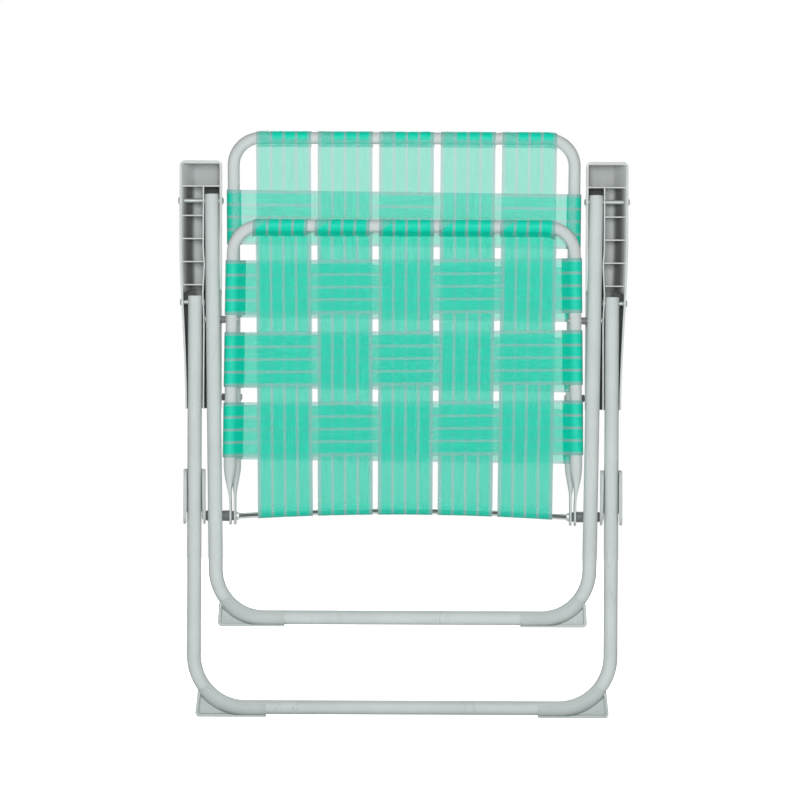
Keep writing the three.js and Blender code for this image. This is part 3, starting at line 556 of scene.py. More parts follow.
nut_start, nut_flange, nut_end = 0.2181, 0.2203, 0.2217
nut_nose, nut_neck, nut_neck_end, nut_rim = 0.0050, 0.0054, 0.0056, 0.0063
nut_edge, nut_back_edge = 0.0003, 0.0002
nut = [
    (nut_start, rod_bore), (nut_start, nut_nose), (nut_start + nut_edge, nut_neck),
    (nut_flange, nut_neck_end), (nut_flange, nut_rim - nut_edge), (nut_flange + nut_edge, nut_rim),
    (nut_end - nut_back_edge, nut_rim), (nut_end, nut_rim - nut_back_edge),
    (nut_end, rod_bore), (nut_start, rod_bore),
]
cap_start, cap_end = 0.2660, 0.2679
cap_radius = 0.006
cap_stem, cap_stem_length = 0.0025, 0.014
stem_end = cap_start - cap_stem_length
dome_share = np.linspace(0, 1, 8)
dome_x = cap_start + (cap_end - cap_start) * np.sqrt(1 - (1 - dome_share) ** 2)
dome_radius = cap_radius - (cap_radius - axis_ring) * dome_share
cap = [(stem_end, axis_ring), (stem_end, cap_stem), (cap_start, cap_stem), *zip(dome_x, dome_radius)]
for label, profile, material, node in (
    ("push_nut", nut, zinc, "rod_nut"),
    ("flat_spacer", collar(0.2253, 0.2277, rod_bore, 0.0063), dark_plastic, "blade_spacer"),
    ("dark_sleeve", collar(0.2313, 0.2609, rod_bore, 0.00725), dark_plastic, "rod_sleeve"),
    ("rod_ring", collar(0.2612, 0.2632, rod_bore, 0.0065), dark_plastic, "rod_washer"),
    ("end_cap", cap, zinc, "rod_cap"),
):
    pair(label, [turned(profile, fold_y, hinge_z)], material, "back", node)

# Saddles: channels pressed from steel sheet and sprayed, one on each end of the rod. They lie on
# the rear leg tubes from behind, with a round ear on each side at the rod.
saddle_wall = 0.0022
saddle_edge = 0.0005
saddle_half = 0.0122
saddle_back = 0.012
saddle_height = 0.062
saddle_ear = 0.0113
ear_start = 0.05
saddle_heel = 0.006
saddle_lip = 0.0075
saddle_lip_round = 0.7
saddle_roll = 0.0047
saddle_roll_depth = 0.0032
roll_low, roll_high = -0.96 * saddle_ear, saddle_height - 0.001
roll_end, roll_end_power, roll_power = 0.004, 0.16, 0.4
saddle_splay = 0.0017
bridge_bend = 0.004
bridge_short = 0.004
bridge_front = 0.003
bridge_power = 0.12
saddle_paint = finish(
    "saddle_paint", (0.495, 0.53, 0.525), (0.445, 0.48, 0.475), (0.36, 0.385, 0.38),
    rough=(0.40, 0.55), grain=1500, relief=0.00012,
)


def plate(outline, low, high, edge, axes):
    """A flat plate with rounded rims: its outline, drawn in about its middle by the edge at both
    faces, at four levels. Axes says which of X, Y and Z the thickness and the outline lie along."""
    middle = outline.mean(axis=0)
    reach = np.linalg.norm(outline - middle, axis=1, keepdims=True)
    inset = outline - (outline - middle) / reach * edge
    levels = ((low, inset), (low + edge, outline), (high - edge, outline), (high, inset))
    rings = np.empty((len(levels), len(outline), 3))
    rings[..., list(axes)] = [joined(level, flat[:, 0], flat[:, 1]) for level, flat in levels]
    return skin(rings)


def ear_depth(z):
    """Half the depth of an ear at heights above the rod: a circle about the rod below it, and the
    circle's radius above it."""
    return np.sqrt(np.clip(saddle_ear**2 - np.clip(z, None, 0) ** 2, 0, None))


def ear_front(z):
    """The front edge of an ear at heights above the rod: round below it, a straight edge that
    narrows above it, and a rounded upper corner."""
    narrow = (saddle_ear - saddle_lip) * np.clip(z, 0, None) / (saddle_height - saddle_lip)
    from_top = np.clip(z - saddle_height + saddle_lip, 0, saddle_lip)
    rounded = saddle_lip - np.sqrt(saddle_lip**2 - from_top**2)
    return -ear_depth(z) + np.clip(narrow, 0, saddle_ear - saddle_lip) + rounded * saddle_lip_round


def saddle_ears():
    """The ear's outline goes up its front edge and down its back edge, at the same heights."""
    low = saddle_ear * np.sin(np.linspace(-math.pi / 2 + ear_start, 0, 14))
    z = np.concatenate([low, np.linspace(0, saddle_height, 32)[1:]])
    upright = saddle_ear + (saddle_back - saddle_ear) * ease(z, 0, saddle_heel)
    back = np.where(z > 0, upright, ear_depth(z))
    y = fold_y + np.concatenate([ear_front(z), back[::-1]])
    outline = joined(y, hinge_z + np.concatenate([z, z[::-1]]))
    faces = (rear_half - saddle_half - saddle_wall, rear_half + saddle_half)
    return [plate(outline, face, face + saddle_wall, saddle_edge, (0, 1, 2)) for face in faces]


def saddle_bridge():
    """A flat section carried along the channel's bend in X and Y, behind the tube."""
    side = saddle_half + saddle_wall / 2
    corners = u_shape(side, bridge_front, side, saddle_back - saddle_wall / 2)
    section = round_box(saddle_wall / 2, (saddle_height - bridge_short) / 2, bridge_power)
    rings = swept(*bent_path(corners, bridge_bend), section)[..., [0, 2, 1]]
    return skin(rings + (rear_half, fold_y, hinge_z + (saddle_height + bridge_short) / 2))


def saddle_roll_edges():
    """Rolled edges along the fronts of the ears: flat rounded oblongs that reach from the ear's outer
    face to the tube, and shrink at both ends as a low power of a sine. The inner one splays out
    evenly towards its foot."""
    share = np.linspace(roll_end, 1 - roll_end, 48)[:, None]
    z = roll_low + share * (roll_high - roll_low)
    full = np.sin(math.pi * share) ** roll_end_power
    across, deep = round_box(saddle_roll / 2, saddle_roll_depth / 2, roll_power, 24).T
    y = fold_y + ear_front(z) + saddle_roll_depth / 2 + deep * full
    shapes = []
    for side, splay in ((-1, saddle_splay), (1, 0)):
        middle = saddle_half + saddle_wall - saddle_roll / 2 + splay * (1 - share)
        x = rear_half + side * (middle + across * full)
        shapes.append(skin(joined(x, y, hinge_z + z)))
    return shapes


saddle = saddle_ears() + saddle_roll_edges() + [saddle_bridge()]
pair("leg_saddle", saddle, saddle_paint, "saddle_SIDE", "saddle")

# Armrests: injection-moulded grey plastic, an arched channel that opens towards the viewer when
# the chair is folded. A divider runs between the two leg tubes, with thin ribs beside it.
arm_wall = 0.0022
arm_wall_growth = 0.4
arm_lean = 0.0145
arm_lean_from, arm_lean_length = 0.562, 0.012
arm_roof_inside, arm_roof = 0.0172, 0.0202
arm_outside_power, arm_inside_power = 0.4, 0.3
arm_rim = -0.008
arm_inner = 0.2423
arm_outer_rear = 0.2902
arm_flare, arm_flare_length = 0.0085, 0.230
arm_rear, arm_front = 0.4106, 0.741
arm_end_wall = 0.0042
arm_corner = 0.0075
arm_nose_drop = 0.6
arm_tip_gap = 0.00005
arm_relief_rim = 0.0003
arm_relief_top, arm_relief_length = 0.570, 0.008
arm_divider = 0.26695
arm_divider_half = 0.0011
arm_divider_power = 0.2
arm_sway_heights = (0.41, 0.527, 0.565, 0.603, 0.622)
arm_sways = (-0.0008, -0.0013, 0.0004, -0.0016, 0)
arm_cross_wall = 0.7069
arm_rib_half = 0.0009
arm_rib_edge = 0.0004
arm_rib_rim = -0.0065
arm_rib_power, arm_rib_reach = 5.7, 0.985
arm_rib_first, arm_rib_pitch, arm_ribs = 0.5756, 0.0307, 4
arm_boss_start, arm_boss_end = arm_inner + 0.001, arm_inner + 0.005
arm_boss_radius = 0.007
pin_bore = 0.0033
back_pivot_z = 0.426
# The arm plastic's last colour is a painted shade, nearly black, for the shade in the arm's hollows.
arm_plastic = finish(
    "arm_plastic", (0.55, 0.585, 0.58), (0.51, 0.54, 0.535), (0.60, 0.625, 0.62),
    rough=(0.48, 0.62), grain=1200, relief=0.00018, painted_shade=(0.07, 0.073, 0.073),
)


def arm_flared(z):
    """How far the arm has flared at heights z, from 0 to 1."""
    return ease(z, arm_rear, arm_rear + arm_flare_length)


def arm_outer(z):
    """The place X of the arm's outer face at heights z."""
    return arm_outer_rear + arm_flare * arm_flared(z)


def arm_arch(z, wall, roof, power, lean=0.0):
    """Arches across the arm at heights z: the half width times the cosine and the rise times the
    sine of an angle from the outer rim over the roof to the inner rim, each to a low power. The half
    width flares towards the front and draws in over the round front corners, and in front of the
    rear leg it leans in towards the roof on the outer side. Below the seat rivet the inner rim is
    higher. The wall grows thicker where the arm flares."""
    z = z[:, None]
    spread = np.linspace(0, 1, 25) ** (1 / power)
    quarter = np.sort(np.concatenate([np.arccos(spread), np.arcsin(spread)[1:-1]]))
    angle = np.concatenate([quarter, math.pi - quarter[-2::-1]])[None]
    wall = wall * (1 + arm_wall_growth * arm_flared(z))
    outer = arm_outer(z) - wall
    inner = arm_inner + wall
    into = np.clip(z - arm_front + arm_corner, 0, arm_corner)
    drawn = arm_corner - np.sqrt(arm_corner**2 - into**2)
    half = (outer - inner) / 2 - drawn
    relief = 1 - ease(z, arm_relief_top - arm_relief_length, arm_relief_top)
    inner_rim = arm_rim + (arm_relief_rim - arm_rim) * relief
    rim = np.where(angle > math.pi / 2, inner_rim, arm_rim)
    cos, sin = np.cos(angle), np.clip(np.sin(angle), 0, None)
    leaning = lean * ease(z, arm_lean_from, arm_lean_from + arm_lean_length) * sin**power * (cos > 0)
    x = (outer + inner) / 2 + (half - leaning) * np.sign(cos) * np.abs(cos) ** power
    y = rim + (roof - arm_nose_drop * drawn - rim) * sin**power
    return joined(x, fold_y + y, z)


def arm_shell():
    """The channel goes over the arch outside and back inside; its front end is a solid wall."""
    hollow_end = arm_front - arm_end_wall
    straight = np.linspace(arm_rear, arm_front - arm_corner, 60)
    nose = np.linspace(arm_front - arm_corner, hollow_end, 10)[1:]
    walls = (arm_cross_wall - arm_rib_half, arm_cross_wall + arm_rib_half, arm_rib_first)
    z = np.sort(np.concatenate([straight, nose, walls]))
    outside = arm_arch(z, 0, arm_roof, arm_outside_power)
    inside = arm_arch(z, arm_wall, arm_roof_inside, arm_inside_power, arm_lean)
    channel = skin(np.concatenate([outside, inside[:, ::-1]], axis=1))
    front_z = np.linspace(hollow_end, arm_front - arm_tip_gap, 10)
    arch = arm_arch(front_z, 0, arm_roof, arm_outside_power)
    share = np.linspace(0, 1, arch.shape[1] + 2)[None, 1:-1, None]
    floor_line = arch[:, -1:] + (arch[:, :1] - arch[:, -1:]) * share
    return [channel, skin(np.concatenate([arch, floor_line], axis=1))]


def arm_rib(level, start):
    """A plate across the hollow, from a place X to the outer wall. Its upper edge is an arch in the
    middle of the shell: the rise times one less a power of the share of the half width, to the
    inverse of that power. It stops just short of the arch's steep ends."""
    middle = (arm_outer(level) + arm_inner) / 2
    half = (arm_outer(level) - arm_inner - arm_wall) / 2
    reach = arm_rib_reach * half
    x = np.linspace(max(start, middle - reach), middle + reach, 40)
    roof = (arm_roof + arm_roof_inside) / 2
    arch = (1 - np.abs((x - middle) / half) ** arm_rib_power) ** (1 / arm_rib_power)
    upper = joined(x, fold_y + arm_rim + (roof - arm_rim) * arch)
    outline = np.concatenate([upper, joined(x[::-1], fold_y + arm_rib_rim)])
    return plate(outline, level - arm_rib_half, level + arm_rib_half, arm_rib_edge, (2, 0, 1))


def arm_plates():
    """The divider, the cross wall and the ribs are plates that end inside the shell's walls. The
    back's pivot has a round boss on the inner wall."""
    roof = fold_y + (arm_roof + arm_roof_inside) / 2
    level = np.linspace(arm_rear, arm_cross_wall, 80)[:, None]
    x = arm_divider + np.interp(level, arm_sway_heights, arm_sways)
    across, deep = round_box(arm_divider_half, (roof - fold_y - arm_rim) / 2, arm_divider_power, 24).T
    divider = skin(joined(x + across, (roof + fold_y + arm_rim) / 2 + deep, level))
    cross = arm_rib(arm_cross_wall, arm_inner)
    ribs = [arm_rib(arm_rib_first + arm_rib_pitch * number, arm_divider) for number in range(arm_ribs)]
    ring = collar(arm_boss_start, arm_boss_end, pin_bore, arm_boss_radius)
    return [divider, cross, *ribs, turned(ring, fold_y + frame_plane, back_pivot_z)]


# How much painted shade the arm's hollows get, in the ribbed cells, the nose and the leg channels.
shade_at_wall, shade_at_foot, shade_at_divider = 0.53, 0.92, 0.31
shade_in_nose = 0.38
to_foot, to_divider = (0.002, 0.0075), (0.0115, 0.0175)
less_shade_beside_leg, beside_leg = 0.35, (0.014, 0.021)
cell_margin = 0.001
shade_from, shade_steepness = 0.08, 8


def arm_painted_shade(shapes):
    """How much painted shade the hollow gets at each point, standing in for the shade inside it: full in
    the deep leg channels, less in front of the cross wall, and in the ribbed cells most where the
    leaning wall meets the roof. It starts just below the rims. It is zero on the front wall and on the
    first half of each ring of the channel, which is its outside."""
    points = np.concatenate([points for points, _ in shapes])
    x, y, z = points[:, 0], points[:, 1] - fold_y, points[:, 2]
    index = np.arange(len(points))
    half_ring = arm_arch(np.array([arm_rear]), 0, arm_roof, arm_outside_power).shape[1]
    channel_end = len(shapes[0][0])
    inside = (index % (2 * half_ring) >= half_ring) & (index < channel_end)
    inside |= index >= channel_end + len(shapes[1][0])
    from_wall = arm_outer(z) - arm_wall * (1 + arm_wall_growth * arm_flared(z)) - x
    depth = (y - arm_rim) / (arm_roof_inside - arm_rim)
    cells = shade_at_wall + (shade_at_foot - shade_at_wall) * ease(from_wall, *to_foot)
    cells += (shade_at_divider - shade_at_foot) * ease(from_wall, *to_divider)
    channel = np.clip(depth, 0, 1) * (1 - less_shade_beside_leg * ease(from_wall, *beside_leg) * (x > arm_divider))
    ribbed = (x > arm_divider) & (z > arm_rib_first - cell_margin)
    shade_amount = np.where(z > arm_cross_wall, shade_in_nose * depth, np.where(ribbed, cells, channel))
    return inside * shade_amount * np.clip(shade_steepness * (depth - shade_from), 0, 1)


arm_shapes = arm_shell() + arm_plates()
# Each arm's hollow is marked with how much painted shade it gets.
for arm in pair("arm_channel", arm_shapes, arm_plastic, "arm_SIDE", "arm"):
    mark(arm, "painted_shade", arm_painted_shade(arm_shapes))

# Rivets and spacers at the pivots: zinc-plated steel with low domed heads on both ends, and dark
# moulded spacers where a tube stands off its neighbour.
rivet_radius = 0.003
rivet_head = 0.0048
rivet_height = 0.002
rivet_gap = 0.0003
rivet_middle, rivet_dome = 0.02, 0.97
spacer_radius = 0.0049
dull_zinc = finish(
    "dull_zinc", (0.34, 0.375, 0.36), (0.29, 0.32, 0.31), (0.45, 0.48, 0.47),
    rough=(0.40, 0.56), grain=1300, relief=0.0001, metallic=0.5, gloss=0.3,
)


def rivet(inside, outside):
    """A shank between two heads: each head is a low dome, its height the square root of one less the
    square of the share of the head's radius."""
    share = np.linspace(rivet_middle, 1, 10)
    rise = rivet_height * np.sqrt(1 - (share * rivet_dome) ** 2)
    low, high = inside - rivet_gap, outside + rivet_gap
    first = list(zip(low - rise, rivet_head * share))
    last = list(zip(high + rise, rivet_head * share))[::-1]
    shank = [(low, rivet_head), (low, rivet_radius), (high, rivet_radius), (high, rivet_head)]
    return first + shank + last


arm_pivot_y, back_pivot_y, seat_pivot_y = fold_y, fold_y + frame_plane, fold_y - frame_plane
seat_pivot_z = 0.5295
front_pin = rivet(arm_inner, 0.2987)
rear_pin = rivet(arm_divider - arm_divider_half, 0.2959)
back_pin = rivet(0.22485 - frame_radius, arm_boss_end)
seat_pin = rivet(0.22846 - frame_radius, 0.25334 + leg_radius)
back_ring = collar(0.23315, 0.2420, pin_bore, spacer_radius)
seat_ring = collar(0.23676, 0.24354, pin_bore, spacer_radius)
for label, profile, y, z, material, body, node in (
    ("front_pin", front_pin, arm_pivot_y, front_pivot, dull_zinc, "arm_SIDE", "front_leg_pin"),
    ("rear_pin", rear_pin, arm_pivot_y, rear_pivot, dull_zinc, "pivot_pins", "rear_leg_pin"),
    ("back_pin", back_pin, back_pivot_y, back_pivot_z, dull_zinc, "back", "back_rivet"),
    ("seat_pin", seat_pin, seat_pivot_y, seat_pivot_z, dull_zinc, "front_leg", "seat_rivet"),
    ("back_standoff", back_ring, back_pivot_y, back_pivot_z, dark_plastic, "back", "back_spacer"),
    ("seat_standoff", seat_ring, seat_pivot_y, seat_pivot_z, dark_plastic, "front_leg", "seat_spacer"),
):
    pair(label, [turned(profile, y, z)], material, body, node)

# Long webs: see-through green vinyl, 73 mm wide, of four flat bands with pale lines between them and
# pale selvedges. They wrap the end bar and loop round the hinge rod. The seat's loops hold to the
# bowed rod.
web_width = 0.073
web_pitch = 0.082
web_thickness = 0.0009
web_offset = 0.0031
web_draw_in = 0.027
web_slots = np.arange(5) - 2
band_edge = 0.62
line_pitch = 0.0168
line_half = 0.0017
selvedge, selvedge_blur = 0.0036, 0.0003
long_sway, sway_blur = 0.0003, 0.011
back_flap, seat_flap = 0.012, 0.0135
flap_gap = 0.0006
flap_steps, wrap_steps = 8, 34
wrap_gap = 0.00065
wrap_radius = frame_radius + wrap_gap + web_thickness / 2
corner_from, corner_to = 0.045, 0.020
loop_gap = 0.0003
seat_loop = rod_radius + loop_gap + web_thickness / 2
back_loop = seat_loop + web_thickness + loop_gap
back_bar, seat_bar = hinge_z + back_height, hinge_z + seat_depth
back_rows = np.array([0.3772, 0.4725, 0.5664, 0.6637])
seat_rows = np.array([0.3849, 0.4783, 0.5740])
web_green = (0.004, 0.585, 0.43)
web_streak = (0.008, 0.5148, 0.3784)
web_deep_green = (0.0, 0.60, 0.415)
web_line = (0.215, 0.455, 0.415)
web_face_alpha = (0.42, 0.46)
line_face_alpha = 0.45
doubled_face_alpha = 0.85
web_shadow = 0.25


def web_material():
    """Green bands, and pale lines where the distance across, counted in line pitches, is close to a
    whole number or past the last line. Fine streaks along the web vary its colour, and clouds its
    see-through. Where the web lies double, as the attribute says, it is deeper in colour and less
    see-through. The web scatters most of its light forwards, so its shadow is weaker than its colour."""
    material, tree, shader = new_material("vinyl_webbing")
    uv = add(tree, "ShaderNodeUVMap", uv_map="webbing").outputs["UV"]
    across = add(tree, "ShaderNodeSeparateXYZ", {"Vector": uv}).outputs["X"]
    pitches = worked(tree, "MULTIPLY", across, 1 / line_pitch)
    past = worked(tree, "SUBTRACT", pitches, worked(tree, "ROUND", pitches))
    line_share = line_half / line_pitch
    lines = ranged(tree, worked(tree, "ABSOLUTE", past), 1, 0, 0.5 * line_share, 1.5 * line_share)
    edge = web_width / 2 - selvedge
    off_middle = worked(tree, "ABSOLUTE", across)
    edges = ranged(tree, off_middle, 0, 1, edge - selvedge_blur, edge + selvedge_blur)
    pale = worked(tree, "MAXIMUM", lines, edges)
    streaks = effect(tree, mottle, {"Vector": stretched(tree, uv, (1, 0.02, 1)), "Scale": 900})
    clouds = effect(tree, mottle, {"Vector": uv, "Scale": 26})
    doubled = marked(tree, "doubled")
    colour = mixed(tree, streaks, (*web_green, 1), (*web_streak, 1))
    colour = mixed(tree, doubled, colour, (*web_deep_green, 1))
    colour = mixed(tree, pale, colour, (*web_line, 1))
    cover = ranged(tree, clouds, *web_face_alpha)
    cover = mixed(tree, pale, cover, line_face_alpha, "FLOAT")
    cover = mixed(tree, doubled, cover, doubled_face_alpha, "FLOAT")
    shadow_ray = add(tree, "ShaderNodeLightPath").outputs["Is Shadow Ray"]
    inputs = {
        "Base Color": colour,
        "Alpha": worked(tree, "MULTIPLY", cover, ranged(tree, shadow_ray, 1, web_shadow)),
        "Roughness": ranged(tree, streaks, 0.36, 0.52),
        "Normal": bumped(tree, streaks, 0.00008, 0.5),
        "Specular IOR Level": 0.12,
    }
    put(tree, shader, inputs)
    return material


webbing = web_material()
across_web = np.linspace(-web_width / 2, web_width / 2, 41)


def strap(name, middle, doubled, body, node):
    """A band about its middle surface, a grid of stations along by places across. Its thickness
    swells a little over each of the four bands and thins at the lines and edges: the edge's share,
    and the rest times one less the fourth power of the place within the band. The UV map holds
    metres across and along, and the attribute says where the web lies double."""
    normal = np.cross(np.gradient(middle, axis=0), np.gradient(middle, axis=1))
    normal = normal / np.linalg.norm(normal, axis=2, keepdims=True)
    edges = np.array([-web_width / 2, -line_pitch, 0, line_pitch, web_width / 2])
    band = np.clip(np.searchsorted(edges, across_web) - 1, 0, 3)
    place = 2 * (across_web - edges[band]) / (edges[band + 1] - edges[band]) - 1
    half = web_thickness / 2 * (band_edge + (1 - band_edge) * (1 - place**4))[None, :, None]
    rings = np.concatenate([middle + normal * half, (middle - normal * half)[:, ::-1]], axis=1)
    made = piece(name, [skin(rings)], webbing, body, node, crease=60)
    length = distance_along(middle[:, len(across_web) // 2])
    uv = joined(np.concatenate([across_web, across_web[::-1]]), length[:, None]).reshape(-1, 2)
    corners = np.empty(len(made.data.loops), np.int32)
    made.data.loops.foreach_get("vertex_index", corners)
    layer = made.data.uv_layers.new(name="webbing")
    layer.data.foreach_set("uv", uv[corners].astype(np.float32).ravel())
    mark(made, "doubled", np.concatenate([doubled, doubled[:, ::-1]], axis=1))
    return made


def wrap_path(slope, reach):
    """The way of a band round a tube: from the end of its flap, which lies close under the band, round
    the tube's far side to where the band leaves it. The first value is towards the tube's outside,
    the second towards the band's face. The flap leaves the circle along its tangent."""
    end = np.array([-reach, wrap_radius - slope * reach - web_thickness - flap_gap])
    leave = math.atan2(end[1], end[0]) + math.acos(wrap_radius / np.linalg.norm(end)) - 2 * math.pi
    round_tube = arc(wrap_radius, np.linspace(leave, math.pi / 2, wrap_steps))
    flap = end + (round_tube[0] - end) * np.linspace(0, 1, flap_steps, endpoint=False)[:, None]
    return np.concatenate([flap, round_tube])


def rod_turn(radius, start, end, count):
    """The last part of a long web's path, an arc about the rod in Y and Z."""
    return arc(radius, np.linspace(start, end, count)) + (0, hinge_z)


def web_plane(z, top, bar, rod_side):
    """The long webs' depth: a straight fall from the bar's wrap to the side of the rod."""
    return top + (rod_side - top) * (bar - z) / (bar - hinge_z)


back_tuck_slant, back_tuck_turn = 0.27, (0.0, 0.25)
seat_tuck_slant, seat_tuck_turn, seat_tuck_steps = 0.32, (-0.1, 0.25), (4, 30)
tuck_blur = 0.002
rod_density = 0.34
steps_before_rod, steps_on_rod = 5, 1


def tucked(wrap, count, turned_at, face):
    """Where a long web lies double at the bar: on the back frame over the upper front of the bar, on
    the seat frame from the bar's top down to the end of the flap. The tucked end is cut slantwise, so
    its edge runs across one corner of the web. Round the rod the web is a third as dense."""
    station = np.arange(len(wrap))
    turn = np.arctan2(wrap[:, 1], wrap[:, 0])
    round_bar = station >= flap_steps
    if face < 0:
        on = ease(turn, *back_tuck_turn) * round_bar
        slant = np.full(len(wrap), back_tuck_slant)
    else:
        on = np.where(round_bar, 1 - ease(turn, *seat_tuck_turn), 1.0)
        slant = seat_tuck_slant * ease(station, *seat_tuck_steps)
    edge = -web_width / 2 + web_width * slant[:, None]
    part = on[:, None] * ease(across_web[None], edge - tuck_blur, edge + tuck_blur)
    rod_start = count - turned_at
    below = np.arange(len(wrap), count)
    at_rod = rod_density * ease(below, rod_start - steps_before_rod, rod_start + steps_on_rod)
    return np.concatenate([part, np.repeat(at_rod[:, None], len(across_web), axis=1)])


def long_web(number, slot, plane, face, bar, bar_half, rod_arc, rows, flap, skew):
    """The web's path in Y and Z goes round the bar, down and round the rod. It is carried across its
    width: it draws in towards the middle on its way down, sinks with the bar's bend at the outer
    corners, rises with the bow of the rod, and sways a little away from each cross web. The flap
    slides sideways by the skew. Gives the grid, and where the web lies double."""
    wrap = wrap_path(0, flap)
    top = plane + face * wrap_radius
    round_bar = joined(plane + face * wrap[:, 1], bar + wrap[:, 0])
    run_z = np.linspace(bar, hinge_z, 130)[1:-1]
    run = joined(web_plane(run_z, top, bar, rod_arc[0, 0]), run_z)
    path = np.concatenate([round_bar, run, rod_arc])
    station = np.arange(len(path))[:, None]
    y, z = path[:, :1], path[:, 1:]
    over = np.where((np.arange(len(rows)) + number) % 2, -1, 1)
    nearness = ease(np.abs(z - rows[None]), web_width / 2 + sway_blur, web_width / 2)
    on_run = (station >= len(wrap)) & (station < len(path) - len(rod_arc))
    y = y - (nearness * over).sum(axis=1, keepdims=True) * long_sway * on_run
    down = (bar - z) / (bar - hinge_z)
    x_bar = web_offset + slot * web_pitch + across_web[None]
    x = web_offset + slot * web_pitch * (1 - web_draw_in * down) + across_web[None]
    slide = np.clip(1 - station / (len(wrap) - 1), 0, 1)
    x = x + skew * slide * (2 - slide)
    into = np.clip(np.abs(x_bar) - bar_half + frame_bend, 0, None)
    left = np.sqrt(frame_bend**2 - into**2)
    hold = ease(z, bar - corner_from, bar - corner_to)
    z = z + hold * (left - frame_bend + (z - bar) * (frame_bend / left - 1))
    z = z + bow(x) * np.clip(down, 0, 1)
    return joined(x, fold_y + y, z), tucked(wrap, len(path), len(rod_arc), face)


back_turn = rod_turn(back_loop, 0, -math.pi / 3.4, 12)
seat_turn = rod_turn(seat_loop, math.pi, 2.4 * math.pi, 34)
back_long = (frame_plane, -1, back_bar, back_half_top, back_turn, back_rows, back_flap)
seat_long = (-frame_plane, 1, seat_bar, seat_half_front, seat_turn, seat_rows, seat_flap)
back_skews = (0.0006, 0.0012, 0.0008, 0.0010, 0.0004)
seat_skews = (-0.0045, -0.0038, 0.0005, -0.002, -0.003)
for number, slot in enumerate(web_slots):
    back_web = long_web(number, slot, *back_long, back_skews[number])
    strap(f"back_long_strap_{number + 1}", *back_web, "back", f"back_long_web_{number + 1}")
    seat_web = long_web(number, slot, *seat_long, seat_skews[number])
    made = strap(f"seat_long_strap_{number + 1}", *seat_web, None, f"seat_long_web_{number + 1}")
    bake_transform(made)

# Cross webs: the same webbing, woven over and under the long webs. Each end goes round a side tube
# of its frame, and its flap lies behind the web. The rows were pulled in a little askew.
weave_gap = 0.00025
weave_step = 0.001
weave_lift = web_thickness + weave_gap - long_sway
woven_before, woven_after = 0.006, 0.004
back_cross_flap, seat_cross_flap = 0.0100, 0.0172
back_slant, seat_slant = -0.0097, 0.0100
side_density = 0.8
side_fade_from, side_fade_to = 6, 1


def half_at(z, low_half, high_half, height):
    """A frame's half width at heights z: its sides run straight from the lower one to the upper one."""
    return low_half + (high_half - low_half) * (z - hinge_z) / height


def cross_web(row, z_row, plane, face, bar, rod_side, sides, reach, slant):
    """The web's path in X and Y: over and under the long webs in smooth steps, up to the side tubes
    and round them. It is carried across its width, where it follows the taper of the side tubes and
    the fall of the long webs. Its height changes across the chair by the slant. Gives the grid, and
    where the web lies double, which is round the side tubes."""
    top = plane + face * wrap_radius
    half = half_at(z_row, *sides)
    level = web_plane(z_row, top, bar, rod_side)
    down = (bar - z_row) / (bar - hinge_z)
    places = web_offset + web_slots * web_pitch * (1 - web_draw_in * down)
    over = np.where((np.arange(len(web_slots)) + row) % 2, -1, 1)
    beside = np.array([-1, 1]) * (web_width / 2 + weave_step)
    keys = np.concatenate([[-half], (places[:, None] + beside).ravel(), [half]])
    heights = np.concatenate([[top], np.repeat(level + over * weave_lift, 2), [top]])
    run_x = np.linspace(-half, half, 221)[1:-1]
    at = np.clip(np.searchsorted(keys, run_x) - 1, 0, len(keys) - 2)
    rise = ease(run_x, keys[at], keys[at + 1])
    run = joined(run_x, heights[at] + (heights[at + 1] - heights[at]) * rise)
    ends = []
    for side, key in ((-1, 1), (1, -2)):
        wrap = wrap_path(face * (top - heights[key]) / (half - abs(keys[key])), reach)
        ends.append(joined(side * (half + wrap[:, 0]), plane + face * wrap[:, 1]))
    path = np.concatenate([ends[0], run, ends[1][::-1]])
    x, y = path[:, :1], path[:, 1:]
    z = z_row + across_web[None] + slant * x
    woven = 1 - ease(np.abs(x), half - reach - woven_before, half - reach + woven_after)
    y = y + woven * (web_plane(z, top, bar, rod_side) - level)
    station = np.arange(len(path))
    from_end = np.minimum(station, station[::-1])
    end_steps = len(ends[0])
    doubled = side_density * (1 - ease(from_end, end_steps - side_fade_from, end_steps - side_fade_to))
    doubled = np.repeat(doubled[:, None], len(across_web), axis=1)
    return joined(x * half_at(z, *sides) / half, fold_y + y, z), doubled


back_cross = (frame_plane, -1, back_bar, back_loop, back_sides, back_cross_flap, back_slant)
seat_cross = (-frame_plane, 1, seat_bar, -seat_loop, seat_sides, seat_cross_flap, seat_slant)
for body, rows, placing in (("back", back_rows, back_cross), ("seat", seat_rows, seat_cross)):
    for row, z_row in enumerate(rows):
        woven_web = cross_web(row, z_row, *placing)
        strap(f"{body}_cross_strap_{row + 1}", *woven_web, body, f"{body}_cross_web_{row + 1}")

# Studio: a pale floor that fades into a white background, soft lamps, and a long lens level with
# the middle of the chair, straight in front of it.
floor_half = 4.0
floor_glow = 0.86
floor_mesh = bpy.data.meshes.new("floor")
floor_corners = [(x * floor_half, y * floor_half, 0) for x, y in ((-1, -1), (1, -1), (1, 1), (-1, 1))]
floor_mesh.from_pydata(floor_corners, [], [(0, 1, 2, 3)])
floor = in_scene("floor", floor_mesh)


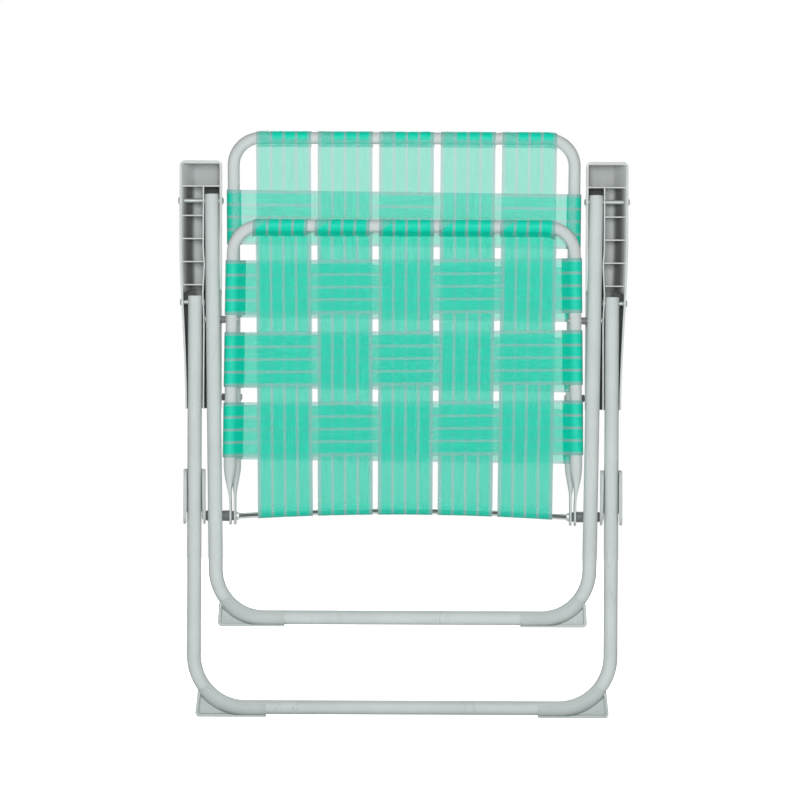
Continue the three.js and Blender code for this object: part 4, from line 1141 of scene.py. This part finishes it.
def seen_directly(tree):
    """One for rays from the camera, from mirrors and through glass, and zero for others."""
    ray = add(tree, "ShaderNodeLightPath").outputs
    mirror = worked(tree, "MAXIMUM", ray["Is Camera Ray"], ray["Is Glossy Ray"])
    return worked(tree, "MAXIMUM", mirror, ray["Is Transmission Ray"])


pale_floor, floor_tree, floor_shader = new_material("pale_floor")
floor_inputs = {
    "Base Color": (0.82, 0.82, 0.82, 1),
    "Roughness": 0.9,
    "Specular IOR Level": 0.1,
    "Emission Color": (1, 1, 1, 1),
    "Emission Strength": worked(floor_tree, "MULTIPLY", seen_directly(floor_tree), floor_glow),
}
put(floor_tree, floor_shader, floor_inputs)
floor_mesh.materials.append(pale_floor)

world = bpy.data.worlds.new("white_room")
bpy.context.scene.world = world
world.use_nodes = True
room_light = 0.12
room = world.node_tree
room_level = mixed(room, seen_directly(room), room_light, 1.0, "FLOAT")
put(room, room.nodes["Background"], {"Color": (1, 1, 1, 1), "Strength": room_level})

aim = np.array([-0.0043, fold_y, 0.423])


def towards(made, target):
    """Turns a lamp or camera so that it looks from its place at the target."""
    way = made.location.copy()
    way.xyz = target
    made.rotation_euler = (way - made.location).to_track_quat("-Z", "Y").to_euler()


for name, place, size, power in (
    ("key", (-0.3, -4.2, 1.5), 1.8, 110),
    ("fill", (0.5, -4.2, 0.6), 1.8, 57),
    ("rear", (0.2, 3.4, 2.6), 2.0, 124),
):
    light = bpy.data.lights.new(name, "AREA")
    light.size = size
    light.energy = power
    lamp = in_scene(name, light)
    lamp.location = place
    towards(lamp, aim)

camera_distance = 6.0
camera_rise = math.radians(1.0)
camera_roll = 0.004
frame_width = 1.0664
lens = bpy.data.cameras.new("camera")
lens.sensor_width = 36
lens.lens = lens.sensor_width * camera_distance / frame_width
lens.clip_end = 50
camera = in_scene("camera", lens)
camera.location = aim + camera_distance * np.array([0, -math.cos(camera_rise), math.sin(camera_rise)])
towards(camera, aim)
camera.rotation_euler.rotate_axis("Z", camera_roll)
bpy.context.scene.camera = camera
bpy.context.scene.view_settings.view_transform = "Standard"
bpy.context.scene.cycles.transparent_max_bounces = 32
